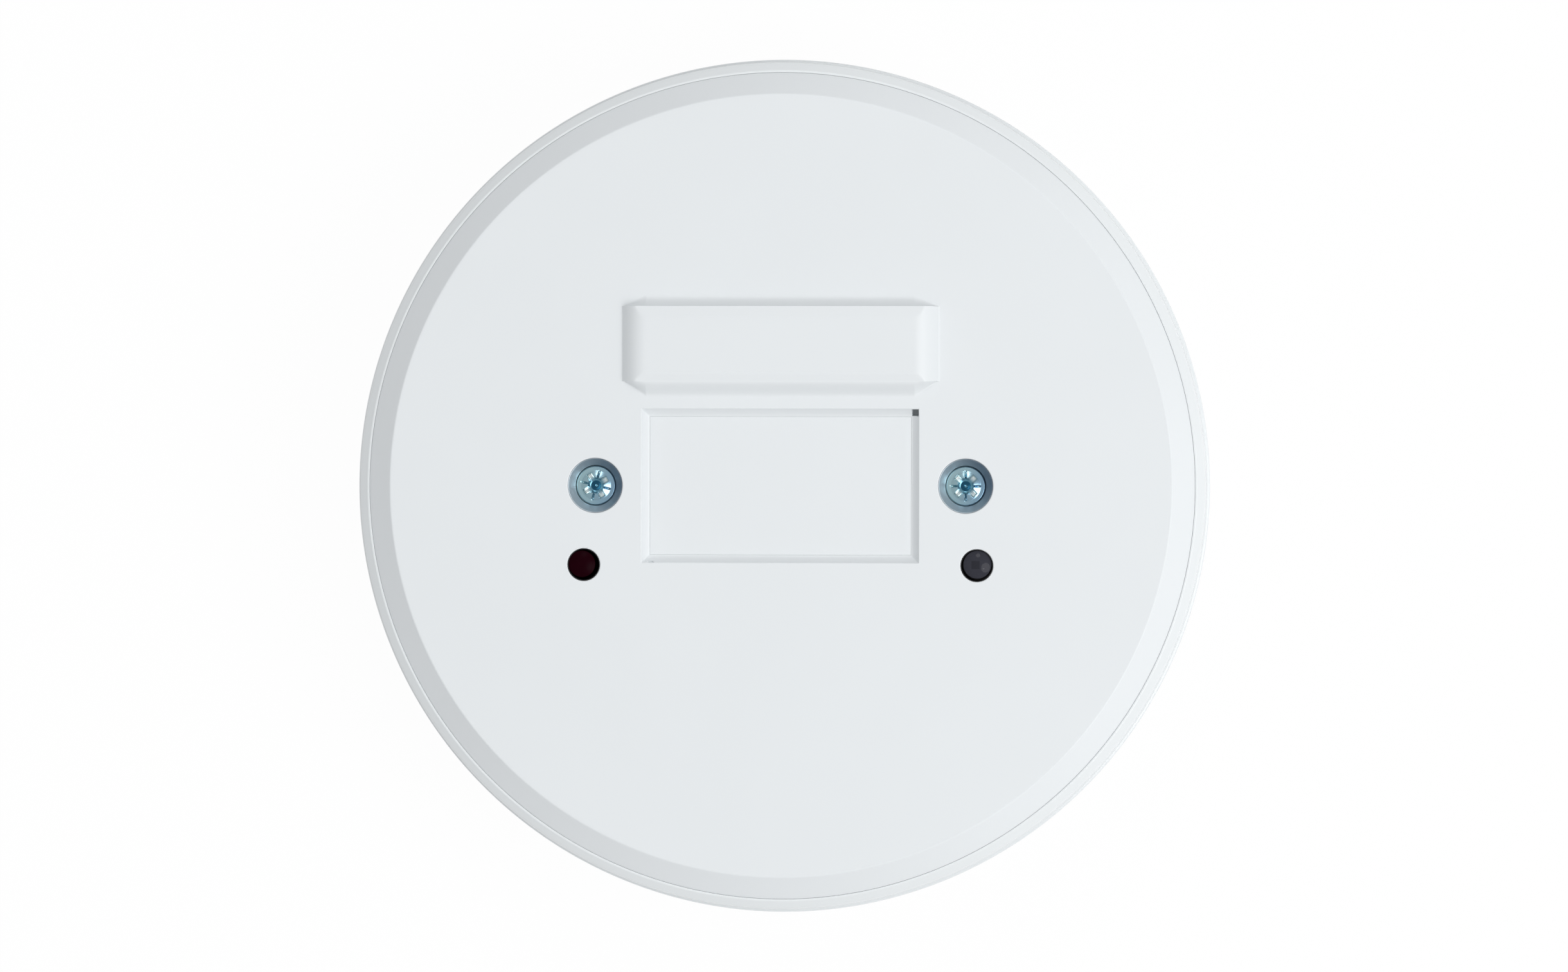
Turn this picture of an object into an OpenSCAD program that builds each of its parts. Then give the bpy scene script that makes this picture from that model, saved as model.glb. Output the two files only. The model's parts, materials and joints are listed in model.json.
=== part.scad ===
// Ceiling smoke detector, lying on its back with its face up.
// The origin is the centre of the back face of the base plate, and +Z points out of the face,
// which is the way from the ceiling into the room. +X is the right of the face and +Y its top.
// Two screws through the face hold the cover assembly to posts of the base plate.

/* [Housing] */
// Widest diameter, over the rim
body_d = 140; // [124:1:168]
// Height of the flat face above the ceiling
body_h = 36; // [34:0.5:46]
// Width and drop of the bevel round the flat face
bevel = 3.7; // [2:0.1:5]
// Width of the rim outside the joint line
rim_w = 2.3; // [2:0.1:4]
// Height of the rim ring
rim_h = 10.3; // [8.5:0.1:12]
// Width of the ledge at the foot of the rim's shoulder
rim_ledge = 0.7; // [0.3:0.1:1]
// Wall of the mouldings
wall = 2.2; // [1.8:0.1:2.6]

/* [Face] */
// Distance between the two cover screws
screw_span = 60.3; // [58:0.1:72]
// Diameter of a screw cup at the face
cup_d = 8.9; // [8.2:0.1:11]
// Depth of a screw cup, down to the seat of the screw head
cup_depth = 3.8; // [3:0.1:4.6]
// Distance between the two windows
window_span = 64; // [60:0.5:80]
// How far the windows lie below the middle of the face
window_drop = 12.9; // [11.5:0.1:18]
// Diameter of a window hole
window_d = 5.3; // [4.4:0.1:6.6]
// Width of the label recess at the face
label_w = 45.2; // [38:0.1:48]
// Height of the label recess at the face
label_l = 25.1; // [18:0.1:26]
// Depth of the label recess
label_depth = 1.4; // [0.8:0.1:1.8]
// How far the walls of the label recess lean in
label_draft = 1.15; // [0.4:0.05:1.5]
// Thickness of the blank label plate
label_t = 0.6; // [0.5:0.1:0.8]
// Length of the raised bar
bar_w = 51.5; // [40:0.5:60]
// Breadth of the raised bar
bar_l = 12.1; // [9:0.1:14]
// Height of the raised bar
bar_h = 2.5; // [1.5:0.1:3.5]
// Distance of the raised bar from the middle of the face
bar_y = 23.1; // [21:0.1:28]
// Length of the rounded ramp at each end of the bar
bar_ramp = 4.4; // [3:0.1:6]

/* [Cover screws] */
// Nominal diameter of a cover screw
screw_d = 3.5; // [2.9:0.1:4.2]
// Diameter of a cover screw's head
head_d = 6.55; // [6:0.05:6.9]
// Height of a cover screw's head
head_h = 2.3; // [1.8:0.1:2.8]
// How far a cover screw rises before its washer stops it
screw_travel = 4.2; // [3:0.6:4.2]

/* [Smoke inlets] */
// Number of inlet slots round the housing
inlets = 60; // [40:2:72]
// Width of one inlet slot
inlet_w = 3.4; // [2:0.1:3.8]

/* [Base] */
// Height of the base plate's outer wall
base_h = 7; // [6:0.5:9]
// Thickness of the base plate's floor
floor_t = 2.5; // [2:0.1:3.5]
// Distance between the two ceiling fixing holes
mount_span = 60.3; // [50:0.1:72]
// Diameter of a ceiling fixing hole
mount_d = 4.2; // [3.6:0.1:5]
// Diameter of the cable entry in the base plate
cable_d = 13; // [10:0.5:16]
// Depth of the reliefs that lighten the back of the base plate
relief = 0.8; // [0.4:0.1:1]

/* [Circuit board and chamber] */
// Height of the circuit board's underside above the ceiling
board_z = 11; // [10:0.5:13]
// Thickness of the circuit board
board_t = 1.6; // [1:0.1:2]
// Outer diameter of the smoke chamber
chamber_d = 48; // [46:0.5:50]
// Height of the smoke chamber over the circuit board
chamber_h = 16; // [15:0.5:17]
// Number of light-stopping vanes round the chamber
vanes = 20; // [16:1:26]
// Diameter of the emitter and of the photodiode
optic_d = 5; // [4.6:0.1:5.4]
// Number of terminals
terminals = 6; // [2:1:6]
// Distance from one terminal to the next
terminal_pitch = 5; // [4.2:0.1:6]

/* [Fits] */
// Open joint between two mouldings of the face
joint_gap = 0.3; // [0.2:0.05:0.5]
// Clearance round a piece that moves or slides in another
run_gap = 0.1; // [0.05:0.01:0.2]
// Radial clearance of a screw thread in its insert
thread_gap = 0.05; // [0.03:0.01:0.1]
// Clearance between the cover assembly and the base it rests on
seat_gap = 0.1; // [0.05:0.05:0.3]

/* [Hidden] */
$fn = 96;
eps = 0.01;

// Colours
white = "whitesmoke";
satin = "#e6ebed";
black = "#17181a";
steel = "#9fb4bd";
tinned = "silver";
laminate = "#1f6b43";
brass = "#c9a24a";

// Outline radii of the housing, from the rim inwards
body_r = body_d / 2;
cover_r = body_r - rim_w - joint_gap;
face_r = cover_r - bevel;
shoulder_r = body_r - rim_ledge;
base_r = body_r - rim_ledge;
grille_r = body_r - 3.5;
grille_in = grille_r - wall;
spigot_r = grille_in - joint_gap;
spigot_in = spigot_r - wall;

// Heights of the housing
rim_top = body_h - bevel;
rim_foot = rim_top - rim_h;
shelf_z = rim_top - wall;
grille_foot = base_h + seat_gap;
grille_ring = 2.4;
plate_z = body_h - wall;
spigot_top = base_h + 2.5;

// Cover screws, posts and cups
screw_x = screw_span / 2;
screw_r = screw_d / 2;
cup_seat = body_h - cup_depth;
cup_t = 0.45;
boss_foot = cup_seat - cup_t - 1.7;
boss_r = cup_d / 2 + 1.1;
washer_t = 0.8;
washer_z = boss_foot - screw_travel - washer_t - joint_gap;
post_top = washer_z - joint_gap;
post_r = 4.2;
insert_r = screw_r + 0.95;
insert_h = 6;
screw_tip = post_top - screw_travel + joint_gap;

// Windows
window_x = window_span / 2;
window_r = window_d / 2;
sleeve_r = window_r - run_gap / 2;
lens_r = window_r - 0.45;
sleeve_foot = body_h - 6.5;
sleeve_top = body_h - 0.35;
guide_foot = board_z + board_t + 6;
lens_rise = 0.5;

// Label recess and its plate
label_floor = body_h - label_depth;
label_seat = label_floor - label_t;
pad_foot = label_seat - wall + 0.6;

// Base plate
mount_y = mount_span / 2;
mount_r = mount_d / 2;
cable_r = cable_d / 2;
board_top = board_z + board_t;
board_post_a = [90, 215, 325];
board_post_r = 3.2;
board_screw_r = 1.45;

// Circuit board
board_r = spigot_in - 4.5;
board_flat = board_r - 8;
board_fix_r = board_r - 4;
access_r = 4.5;
post_hole_r = post_r + 0.5;

// Smoke chamber, standing on the board
chamber_r = chamber_d / 2;
chamber_floor = board_top + 0.3;
chamber_floor_t = 2;
vane_foot = chamber_floor + chamber_floor_t;
lid_t = 1.6;
lid_z = board_top + chamber_h - lid_t;
optic_r = optic_d / 2;
optic_z = vane_foot + 4.3;
optic_near = 9;
optic_l = 6;
emitter_a = 205;
receiver_a = 335;
screen_t = 0.5;
screen_r = chamber_r - 0.4;
vane_out = screen_r - screen_t - 0.3;

// Terminal block
block_w = terminals * terminal_pitch + 1.5;
block_l = 9;
block_h = 10;
block_y = -board_flat + 1 + block_l / 2;
clamp_w = terminal_pitch - 1.4;
terminal_screw_r = 1.4;

// Rotary address switches
dial_x = 7.5;
dial_y = board_r - 11;
dial_r = 3.2;
switch_w = 10;
switch_h = 4.6;

// Screws that hold the grille and the rim to the face plate
lug_r = grille_in - 6;
lug_a = 45;
lug_t = 2;
lug_z = rim_foot - lug_t;
self_tap_r = 1.2;
lug_boss_r = 3;

function arc(x, y, r, a, b, n) = [for (i = [0:n]) let (t = a + (b - a) * i / n)
    [x + r * cos(t), y + r * sin(t)]];

module at(x, y, z = 0) {
    translate([x, y, z]) children();
}

module polar(r, a, z = 0) {
    rotate([0, 0, a]) translate([r, 0, z]) children();
}

// A ring or tube with its foot at z
module ring(r_out, r_in, z, h) {
    translate([0, 0, z]) difference() {
        cylinder(r = r_out, h = h);
        translate([0, 0, -eps]) cylinder(r = r_in, h = h + 2 * eps);
    }
}

module disc(r, z, h) {
    translate([0, 0, z]) cylinder(r = r, h = h);
}

module block(w, l, z, h) {
    translate([-w / 2, -l / 2, z]) cube([w, l, h]);
}

// A block whose four walls lean in by the same inset over its height
module frustum(w, l, h, inset) {
    intersection() {
        rotate([90, 0, 0]) linear_extrude(height = l, center = true)
            polygon([[-w / 2, 0], [w / 2, 0], [w / 2 - inset, h], [-w / 2 + inset, h]]);
        rotate([90, 0, 90]) linear_extrude(height = w, center = true)
            polygon([[-l / 2, 0], [l / 2, 0], [l / 2 - inset, h], [-l / 2 + inset, h]]);
    }
}

// ---- Base -------------------------------------------------------------------

module cover_posts() {
    for (s = [-1, 1]) at(s * screw_x, 0) {
        disc(post_r, 0, post_top);
        // Four webs stiffen the foot of each post
        for (a = [45:90:315]) rotate([0, 0, a]) translate([0, -0.6, 0])
            cube([post_r + 1.6, 1.2, board_z - 2]);
    }
}

module base_plate() {
    color(satin) difference() {
        union() {
            disc(base_r, 0, floor_t);
            ring(base_r, base_r - wall, 0, base_h);
            ring(spigot_r, spigot_in, 0, spigot_top);
            for (a = [15:30:345]) rotate([0, 0, a]) translate([spigot_r - eps, -0.6, 0])
                cube([base_r - wall - spigot_r + 2 * eps, 1.2, base_h - 2]);
            cover_posts();
            for (a = board_post_a) polar(board_fix_r, a) disc(board_post_r, 0, board_z);
            for (s = [-1, 1]) at(0, s * mount_y) disc(mount_r + 2.2, 0, floor_t + 1.5);
            disc(cable_r + 3.6, 0, floor_t + 1);
        }
        for (s = [-1, 1]) {
            at(s * screw_x, 0) disc(insert_r, post_top - insert_h, insert_h + 1);
            at(s * screw_x, 0) disc(screw_r + 0.4, screw_tip - 2, post_top);
            at(0, s * mount_y) disc(mount_r, -1, floor_t + 4);
        }
        disc(cable_r, -1, floor_t + 4);
        // The back rests on an outer rim, a ring under the fixing holes and twelve spokes
        difference() {
            union() {
                ring(base_r - 2.4, mount_y + mount_r + 4, -1, 1 + relief);
                ring(mount_y - mount_r - 4, cable_r + 4, -1, 1 + relief);
            }
            for (a = [0:30:150]) rotate([0, 0, a]) block(body_d, 1.6, -2, 4);
        }
        for (a = board_post_a) polar(board_fix_r, a)
            disc(board_screw_r - 0.25, floor_t, board_z);
    }
}

// Threaded brass inserts, pressed into the tops of the two posts
module cover_inserts() {
    color(brass) for (s = [-1, 1]) at(s * screw_x, 0, post_top - insert_h)
        difference() {
            union() {
                disc(insert_r, 0, insert_h / 2 - 0.5);
                disc(insert_r - 0.4, 0, insert_h - eps);
                disc(insert_r, insert_h / 2 + 0.5, insert_h / 2 - 0.5);
            }
            disc(screw_r + thread_gap, -1, insert_h + 2);
        }
}

module cable_grommet() {
    bore = cable_r - 2.2;
    top = floor_t + 1;
    color(black) rotate_extrude()
        polygon([[bore, 0.3], [cable_r, 0.3], [cable_r, top], [cable_r + 2.4, top],
                 [cable_r + 2.4, top + 0.8], [cable_r + 1.6, top + 1.6],
                 [bore + 1.6, top + 1.6], [bore, top]]);
}

// ---- Circuit board and what it carries ---------------------------------------

module circuit_board() {
    color(laminate) difference() {
        disc(board_r, board_z, board_t);
        translate([-board_r, -board_r - board_flat, board_z - 1])
            cube([2 * board_r, board_r, board_t + 2]);
        for (s = [-1, 1]) {
            at(s * screw_x, 0) disc(post_hole_r, board_z - 1, board_t + 2);
            at(0, s * mount_y) disc(access_r, board_z - 1, board_t + 2);
        }
        for (a = board_post_a) polar(board_fix_r, a)
            disc(board_screw_r + 0.15, board_z - 1, board_t + 2);
        for (a = [30:120:270]) polar(chamber_r - 5, a) disc(1.3, board_z - 1, board_t + 2);
    }
}

module board_screws() {
    color(tinned) for (a = board_post_a) polar(board_fix_r, a) difference() {
        union() {
            disc(board_screw_r + 1.25, board_top, 1.7);
            disc(board_screw_r - 0.3, floor_t + 1, board_top - floor_t);
        }
        for (t = [0, 90]) rotate([0, 0, t]) block(2.6, 0.6, board_top + 0.8, 1);
    }
}

module each_terminal() {
    for (i = [0:terminals - 1])
        at((i - (terminals - 1) / 2) * terminal_pitch, block_y) children();
}

module terminal_block() {
    color("#2f6fae") difference() {
        union() {
            at(0, block_y) block(block_w, block_l, board_top, block_h - 2);
            at(0, block_y + 1) block(block_w, block_l - 2, board_top, block_h);
        }
        each_terminal() {
            // Wire entry with the clamp's chamber behind it, and the well of the screw
            translate([-clamp_w / 2 - run_gap, -block_l / 2 - 1, board_top + 1])
                cube([clamp_w + 2 * run_gap, 8, 4.4 + 2 * run_gap]);
            at(0, 0.2) disc(terminal_screw_r + 0.4, board_top + 1, block_h);
        }
    }
}

// Tinned cages that the terminal screws draw up onto the wires
module terminal_clamps() {
    color(tinned) each_terminal() difference() {
        translate([-clamp_w / 2, -2.2, board_top + 1 + run_gap]) cube([clamp_w, 4.6, 4.2]);
        translate([-clamp_w / 2 + 0.6, -3, board_top + 1.8]) cube([clamp_w - 1.2, 7, 2.4]);
        at(0, 0.2) disc(terminal_screw_r + thread_gap, board_top + 3, 4);
    }
}

module terminal_screws() {
    color(steel) each_terminal() at(0, 0.2) difference() {
        disc(terminal_screw_r, board_top + 3.6, 5.2);
        block(4, 0.5, board_top + 8, 2);
    }
}

// Seat of one optic: a stub that its bore points at the middle of the chamber
module optic_axis(a) {
    rotate([0, 0, a]) translate([optic_near, 0, optic_z]) rotate([0, 90, 0]) children();
}

module chamber_base() {
    color(black) difference() {
        union() {
            disc(chamber_r, chamber_floor, chamber_floor_t);
            // Three feet stand on the board, and their pins pass through it
            for (a = [30:120:270]) polar(chamber_r - 5, a) {
                disc(2.4, board_top, 0.3 + eps);
                disc(1.2, board_z - 0.8, board_t + 1.2);
            }
            for (a = [emitter_a, receiver_a]) rotate([0, 0, a])
                translate([optic_near - 3.2, -optic_r - 1.2, vane_foot - eps])
                    cube([3.2 + optic_l + 0.6, 2 * optic_r + 2.4, 2 * optic_r + 3.2]);
        }
        for (a = [emitter_a, receiver_a]) optic_axis(a) {
            disc(optic_r + thread_gap, 0, optic_l + 2);
            disc(optic_r - 1, -5, 6);
        }
        for (a = [emitter_a, receiver_a]) optic_leads(a) disc(0.5, 0, 4);
        for (a = [0:120:240]) polar(6.5, a + 90) disc(1.1, chamber_floor - 1, 4);
    }
}

// Where the bent leads of an optic come down to the board
module optic_leads(a) {
    for (s = [-1, 1]) rotate([0, 0, a])
        translate([optic_near + optic_l + 2.2, s * 1.27, board_top]) children();
}

// One vane: two blades that meet at an angle, so no straight ray passes between neighbours
module vane() {
    h = lid_z - vane_foot;
    reach = vane_out - 1.2;
    for (s = [[reach, 42, 0], [reach - 3.6, -40, -1.15]])
        translate([s[0] - 2, s[2], vane_foot]) rotate([0, 0, s[1]])
            translate([-2, -0.4, 0]) cube([4, 0.8, h]);
}

module chamber_labyrinth() {
    color(black) intersection() {
        difference() {
            union() {
                for (i = [0:vanes - 1]) rotate([0, 0, (i + 0.5) * 360 / vanes]) vane();
                ring(vane_out, vane_out - 5, vane_foot, 0.8);
            }
            // Room for the two optics and their holders
            for (a = [emitter_a, receiver_a]) rotate([0, 0, a])
                translate([0, -optic_r - 1.5, vane_foot - 1])
                    cube([optic_near + optic_l + 2.6, 2 * optic_r + 3, 2 * optic_r + 4.5]);
        }
        ring(vane_out, vane_out - 7.2, vane_foot, lid_z - vane_foot);
    }
}

module chamber_lid() {
    color(black) difference() {
        union() {
            disc(chamber_r, lid_z, lid_t);
            ring(screen_r - screen_t - 0.05, vane_out - 1.4, lid_z - eps, lid_t);
            disc(chamber_r - 2, lid_z, lid_t + 0.6);
            for (r = [4:3:13]) ring(r + 0.6, r, lid_z - 0.8, 1);
        }
        for (r = [5:4:17]) ring(r + 0.8, r, lid_z + lid_t, 1);
    }
}

// Fine metal gauze round the chamber, with its openings drawn coarser than the real mesh
module insect_screen() {
    rows = 3;
    columns = 36;
    h = lid_z - vane_foot;
    step = h / rows;
    color(tinned) difference() {
        ring(screen_r, screen_r - screen_t, vane_foot, h);
        for (j = [0:rows - 1], i = [0:columns - 1]) rotate([0, 0, (i + j / 2) * 360 / columns])
            translate([screen_r - 2, -1.4, vane_foot + j * step + 0.5])
                cube([4, 2.8, step - 1]);
    }
}

// A round optic lying in its holder, with its dome towards the middle and its leads bent down
module round_optic(a) {
    optic_axis(a) {
        translate([0, 0, optic_r + 1]) sphere(r = optic_r);
        disc(optic_r, optic_r + 1, optic_l - optic_r - 0.2);
        disc(optic_r + 0.35, optic_l + 0.7, 0.8);
        for (s = [-1, 1]) at(0, s * 1.27) disc(0.3, optic_l + 1, 1.5);
    }
    optic_leads(a) disc(0.3, 0, optic_z - board_top);
}

module ir_emitter() {
    color("#3b4a63") round_optic(emitter_a);
}

module photodiode() {
    color("#241a22") round_optic(receiver_a);
}

// Folded tin box over the amplifier, with its feet in the board
module shield_can() {
    color(tinned) polar(board_r - 13, 158) rotate([0, 0, 22]) difference() {
        block(15, 12, board_top, 4.5);
        block(14.2, 11.2, board_top - 1, 5.1);
        for (i = [-1:1], j = [-1:1]) at(4 * i, 3 * j) disc(0.9, board_top + 3, 3);
    }
}

module microcontroller() {
    leads = 8;
    color(black) polar(board_r - 11, 28) rotate([0, 0, -28]) {
        difference() {
            block(7, 7, board_top + 0.15, 1.4);
            at(-2.7, 2.7) disc(0.4, board_top + 1.4, 1);
        }
        for (q = [0:90:270], i = [0:leads - 1]) rotate([0, 0, q])
            translate([3.5, (i - (leads - 1) / 2) * 0.8 - 0.15, board_top]) {
                cube([0.5, 0.3, 0.7]);
                cube([1, 0.3, 0.15]);
            }
    }
}

module small_chip() {
    block(4, 5, board_top + 0.15, 1.45);
    for (s = [-1, 1], i = [0:3]) translate([s * 2.4 - 0.5, (i - 1.5) * 1.27 - 0.2, board_top])
        cube([1, 0.4, 0.5]);
}

module small_chips() {
    color(black) for (a = [0, 172, 52]) polar(board_r - (a == 52 ? 12 : 6), a)
        rotate([0, 0, -a]) small_chip();
}

module capacitors() {
    color("#27405e") for (c = [[190, 4, 10.5], [350, 4, 10.5], [130, 3.15, 7]])
        polar(board_r - 8, c[0]) difference() {
            union() {
                block(2 * c[1] + 0.4, 2 * c[1] + 0.4, board_top, 0.8);
                disc(c[1], board_top + 0.5, c[2] - 0.5);
            }
            ring(c[1] + 1, c[1] - 0.25, board_top + 1.6, 0.6);
        }
}

// Rows of chip resistors and small capacitors
module chip_resistors() {
    color("#3a3a3c") {
        for (i = [0:4]) polar(board_r - 5, 24 + 4 * i) block(0.9, 1.6, board_top, 0.5);
        for (i = [0:4]) polar(board_r - 3, 140 + 4 * i) block(0.9, 1.6, board_top, 0.5);
        for (i = [0:3]) polar(chamber_r + 5, 40 + 9 * i) block(1.6, 0.9, board_top, 0.5);
        for (i = [0:3]) polar(chamber_r + 5, 113 + 9 * i) block(1.6, 0.9, board_top, 0.5);
        for (i = [0:2]) polar(chamber_r + 5, 243 - 9 * i) block(1.6, 0.9, board_top, 0.5);
    }
}

module crystal() {
    color(tinned) polar(board_r - 10, 14) rotate([0, 0, 90]) {
        block(6.4, 3.6, board_top + 0.1, 3.2);
        for (s = [-1, 1]) at(s * 3.2, 0) disc(1.8, board_top + 0.1, 3.2);
        block(10.6, 4.2, board_top, 0.4);
    }
}

// 3 mm alarm lamp under the left light guide
module alarm_led() {
    r = 1.5;
    color("firebrick") at(-window_x, -window_drop, board_top) {
        disc(r + 0.3, 0, 0.9);
        disc(r, 0, 3.6);
        translate([0, 0, 3.6]) sphere(r = r);
    }
}

// Infrared receiver lying flat under the right light guide, with its lens up
module ir_receiver() {
    color(black) at(window_x, -window_drop) {
        block(7, 6, board_top, 3);
        translate([0, 0, board_top + 3]) intersection() {
            sphere(r = 2.2);
            disc(3, -1, 4);
        }
    }
}

module address_switches() {
    color("#e9e4d4") for (s = [-1, 1]) at(s * dial_x, dial_y) difference() {
        union() {
            block(switch_w, switch_w, board_top, switch_h);
            block(switch_w - 1.2, switch_w - 1.2, board_top, switch_h + 0.3);
        }
        disc(dial_r + run_gap, board_top + 1, switch_h);
        // Ten pips mark the positions of the dial
        for (i = [0:9]) polar(dial_r + 0.6, 36 * i) disc(0.2, board_top + switch_h, 1);
    }
}

// Arrow-headed dial, turned with a small screwdriver
module dial() {
    difference() {
        disc(dial_r, board_top + 1 + run_gap, switch_h - 1);
        translate([0, 0, board_top + switch_h - 0.9]) linear_extrude(height = 2)
            polygon([[-2.2, -0.5], [0.8, -0.5], [0.8, -1.3], [2.5, 0], [0.8, 1.3],
                     [0.8, 0.5], [-2.2, 0.5]]);
    }
}

module tens_dial() {
    color("#d98324") at(-dial_x, dial_y) dial();
}

module units_dial() {
    color("#d98324") at(dial_x, dial_y) dial();
}

// ---- Cover assembly ----------------------------------------------------------

// Raised bar: ends that round down to the face, long sides with a steep chamfer
module face_bar() {
    steps = 8;
    top_w = bar_w / 2 - bar_ramp;
    chamfer = 1.3;
    end = [for (i = [0:steps]) let (t = 90 * i / steps)
        [top_w + bar_ramp * sin(t), bar_h * cos(t)]];
    translate([0, bar_y, body_h]) intersection() {
        rotate([90, 0, 0]) linear_extrude(height = bar_l, center = true)
            polygon(concat([for (p = end) p], [[bar_w / 2, -1], [-bar_w / 2, -1]],
                           [for (i = [steps:-1:0]) [-end[i][0], end[i][1]]]));
        rotate([90, 0, 90]) linear_extrude(height = bar_w, center = true)
            polygon([[-bar_l / 2, -1], [bar_l / 2, -1], [bar_l / 2, 0],
                     [bar_l / 2 - chamfer, bar_h], [-bar_l / 2 + chamfer, bar_h],
                     [-bar_l / 2, 0]]);
    }
}

module lugs() {
    for (a = [0:90:270]) polar(lug_r, lug_a + a) children();
}

module front_cover() {
    color(satin) difference() {
        union() {
            // Face plate with its bevel, and the skirt that stands on the rim's shelf
            rotate_extrude() polygon([[0, plate_z], [face_r - 1, plate_z],
                [cover_r - wall, rim_top - 0.4], [cover_r - wall, shelf_z],
                [cover_r, shelf_z], [cover_r, rim_top], [face_r, body_h], [0, body_h]]);
            face_bar();
            block(label_w + 2 * wall, label_l + 2 * wall, pad_foot, plate_z - pad_foot + eps);
            for (s = [-1, 1]) {
                at(s * screw_x, 0) disc(boss_r, boss_foot, plate_z - boss_foot + eps);
                at(s * window_x, -window_drop)
                    ring(sleeve_r + 2.4, sleeve_r + 1.2 + run_gap, sleeve_foot + 1.5,
                         plate_z - sleeve_foot - 1.5 + eps);
            }
            lugs() disc(lug_boss_r, rim_foot, plate_z - rim_foot + eps);
        }
        // Label recess, the seat of its plate, and the pry notch at its lower left
        translate([0, 0, body_h + eps]) mirror([0, 0, 1])
            frustum(label_w, label_l, label_depth + eps, label_draft);
        block(label_w - 2 * label_draft, label_l - 2 * label_draft, label_seat, label_t + 0.2);
        translate([-label_w / 2 + label_draft + 1, -label_l / 2 + 0.4, label_seat])
            cube([2.4, 1.2, label_t + 0.5]);
        // Hollow under the raised bar
        at(0, bar_y) block(bar_w - 2 * bar_ramp - 2, bar_l - 5, plate_z - 1, bar_h + 1);
        for (s = [-1, 1]) {
            at(s * screw_x, 0) {
                translate([0, 0, cup_seat - cup_t]) cylinder(r1 = head_d / 2 + 0.5 + cup_t,
                    r2 = cup_d / 2 + 0.02, h = cup_depth + cup_t + eps);
                disc(screw_r + 0.25, boss_foot - 1, cup_depth + 4);
            }
            at(s * window_x, -window_drop) disc(window_r, plate_z - 1, wall + 2);
        }
        lugs() disc(self_tap_r + 0.05, rim_foot - 1, shelf_z - rim_foot + 1);
    }
}

// Section of the rim: steep shoulder, ledge with a fine step, and a straight foot
module rim_ring() {
    top_in = cover_r + joint_gap;
    round_r = 1.1;
    ledge_z = rim_foot + 3.2;
    color(white) difference() {
        rotate_extrude() polygon(concat(
            [[grille_in, shelf_z - wall], [body_r - wall, rim_foot + 1.6],
             [body_r - wall, rim_foot], [body_r, rim_foot]],
            arc(body_r - 0.5, ledge_z - 0.5, 0.5, 0, 75, 4),
            [[shoulder_r + 0.05, ledge_z + 0.25]],
            arc(shoulder_r - round_r - 0.3, rim_top - round_r, round_r, 8, 90, 7),
            [[top_in, rim_top], [top_in, shelf_z], [grille_in - 1, shelf_z],
             [grille_in - 1, shelf_z - wall]]));
    }
}

// Slotted ring that lets the smoke in, seated in the rim and standing on the base
module inlet_grille() {
    slot_top = rim_foot - 1.8;
    color(white) difference() {
        union() {
            ring(grille_r, grille_in, grille_foot, rim_foot - grille_foot);
            ring(base_r - 0.6, grille_in, grille_foot, 1.2);
            ring(body_r - 0.6, grille_in, rim_foot - 1.4, 1.4);
            lugs() difference() {
                union() {
                    disc(lug_boss_r + 0.6, lug_z, lug_t);
                    translate([0, -lug_boss_r - 0.6, lug_z])
                        cube([grille_in - lug_r + 0.6, 2 * lug_boss_r + 1.2, lug_t]);
                }
                disc(self_tap_r + 0.25, lug_z - 1, lug_t + 2);
            }
        }
        for (i = [0:inlets - 1]) rotate([0, 0, (i + 0.5) * 360 / inlets])
            translate([grille_in - 2, -inlet_w / 2, grille_foot + grille_ring])
                cube([wall + 4, inlet_w, slot_top - grille_foot - grille_ring]);
    }
}

module housing_screws() {
    color(tinned) lugs() difference() {
        union() {
            disc(2.5, lug_z - 1.6, 1.6);
            disc(self_tap_r, lug_z - eps, lug_t + shelf_z - rim_foot - 2);
        }
        for (t = [0, 90]) rotate([0, 0, t]) block(2.4, 0.6, lug_z - 2, 1.2);
    }
}

// Pressed steel cup that lines the hole of a cover screw
module screw_cup() {
    seat_r = head_d / 2 + 0.25;
    lip = cup_d / 2 - 0.02;
    color(steel) rotate_extrude() polygon([
        [screw_r + 0.3, cup_seat - cup_t + 0.02], [seat_r + cup_t - 0.1, cup_seat - cup_t + 0.02],
        [lip, body_h - 0.1], [lip - cup_t * 0.6, body_h - 0.1], [seat_r, cup_seat],
        [screw_r + 0.3, cup_seat]]);
}

module left_screw_cup() {
    at(-screw_x, 0) screw_cup();
}

module right_screw_cup() {
    at(screw_x, 0) screw_cup();
}

// Nylon washer that grips the shank, so the loosened screw stays in the cover
module screw_washer() {
    color("ivory") ring(post_r - 0.8, screw_r + run_gap, washer_z, washer_t);
}

module left_screw_washer() {
    at(-screw_x, 0) screw_washer();
}

module right_screw_washer() {
    at(screw_x, 0) screw_washer();
}

// Pan head machine screw with a four-winged recess and four fine ticks between the wings
module cover_screw(turn) {
    head_z = cup_seat + run_gap;
    head_r = head_d / 2;
    color(steel) difference() {
        union() {
            rotate_extrude() polygon(concat([[0, head_z], [head_r, head_z]],
                arc(head_r - 1.1, head_z + head_h - 1.1, 1.1, 0, 80, 5),
                [[0, head_z + head_h]]));
            disc(screw_r, screw_tip, head_z - screw_tip + eps);
            translate([0, 0, screw_tip - 0.5]) cylinder(r1 = screw_r - 0.5, r2 = screw_r, h = 0.5);
        }
        rotate([0, 0, turn]) {
            for (t = [0, 90]) rotate([0, 0, t]) block(4.2, 0.75, head_z + head_h - 1.5, 2);
            translate([0, 0, head_z + head_h - 1.8]) cylinder(r1 = 0.7, r2 = 1.15, h = 2);
            for (t = [45:90:315]) rotate([0, 0, t]) at(2.1, 0)
                block(0.9, 0.14, head_z + head_h - 0.15, 1);
        }
    }
}

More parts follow.
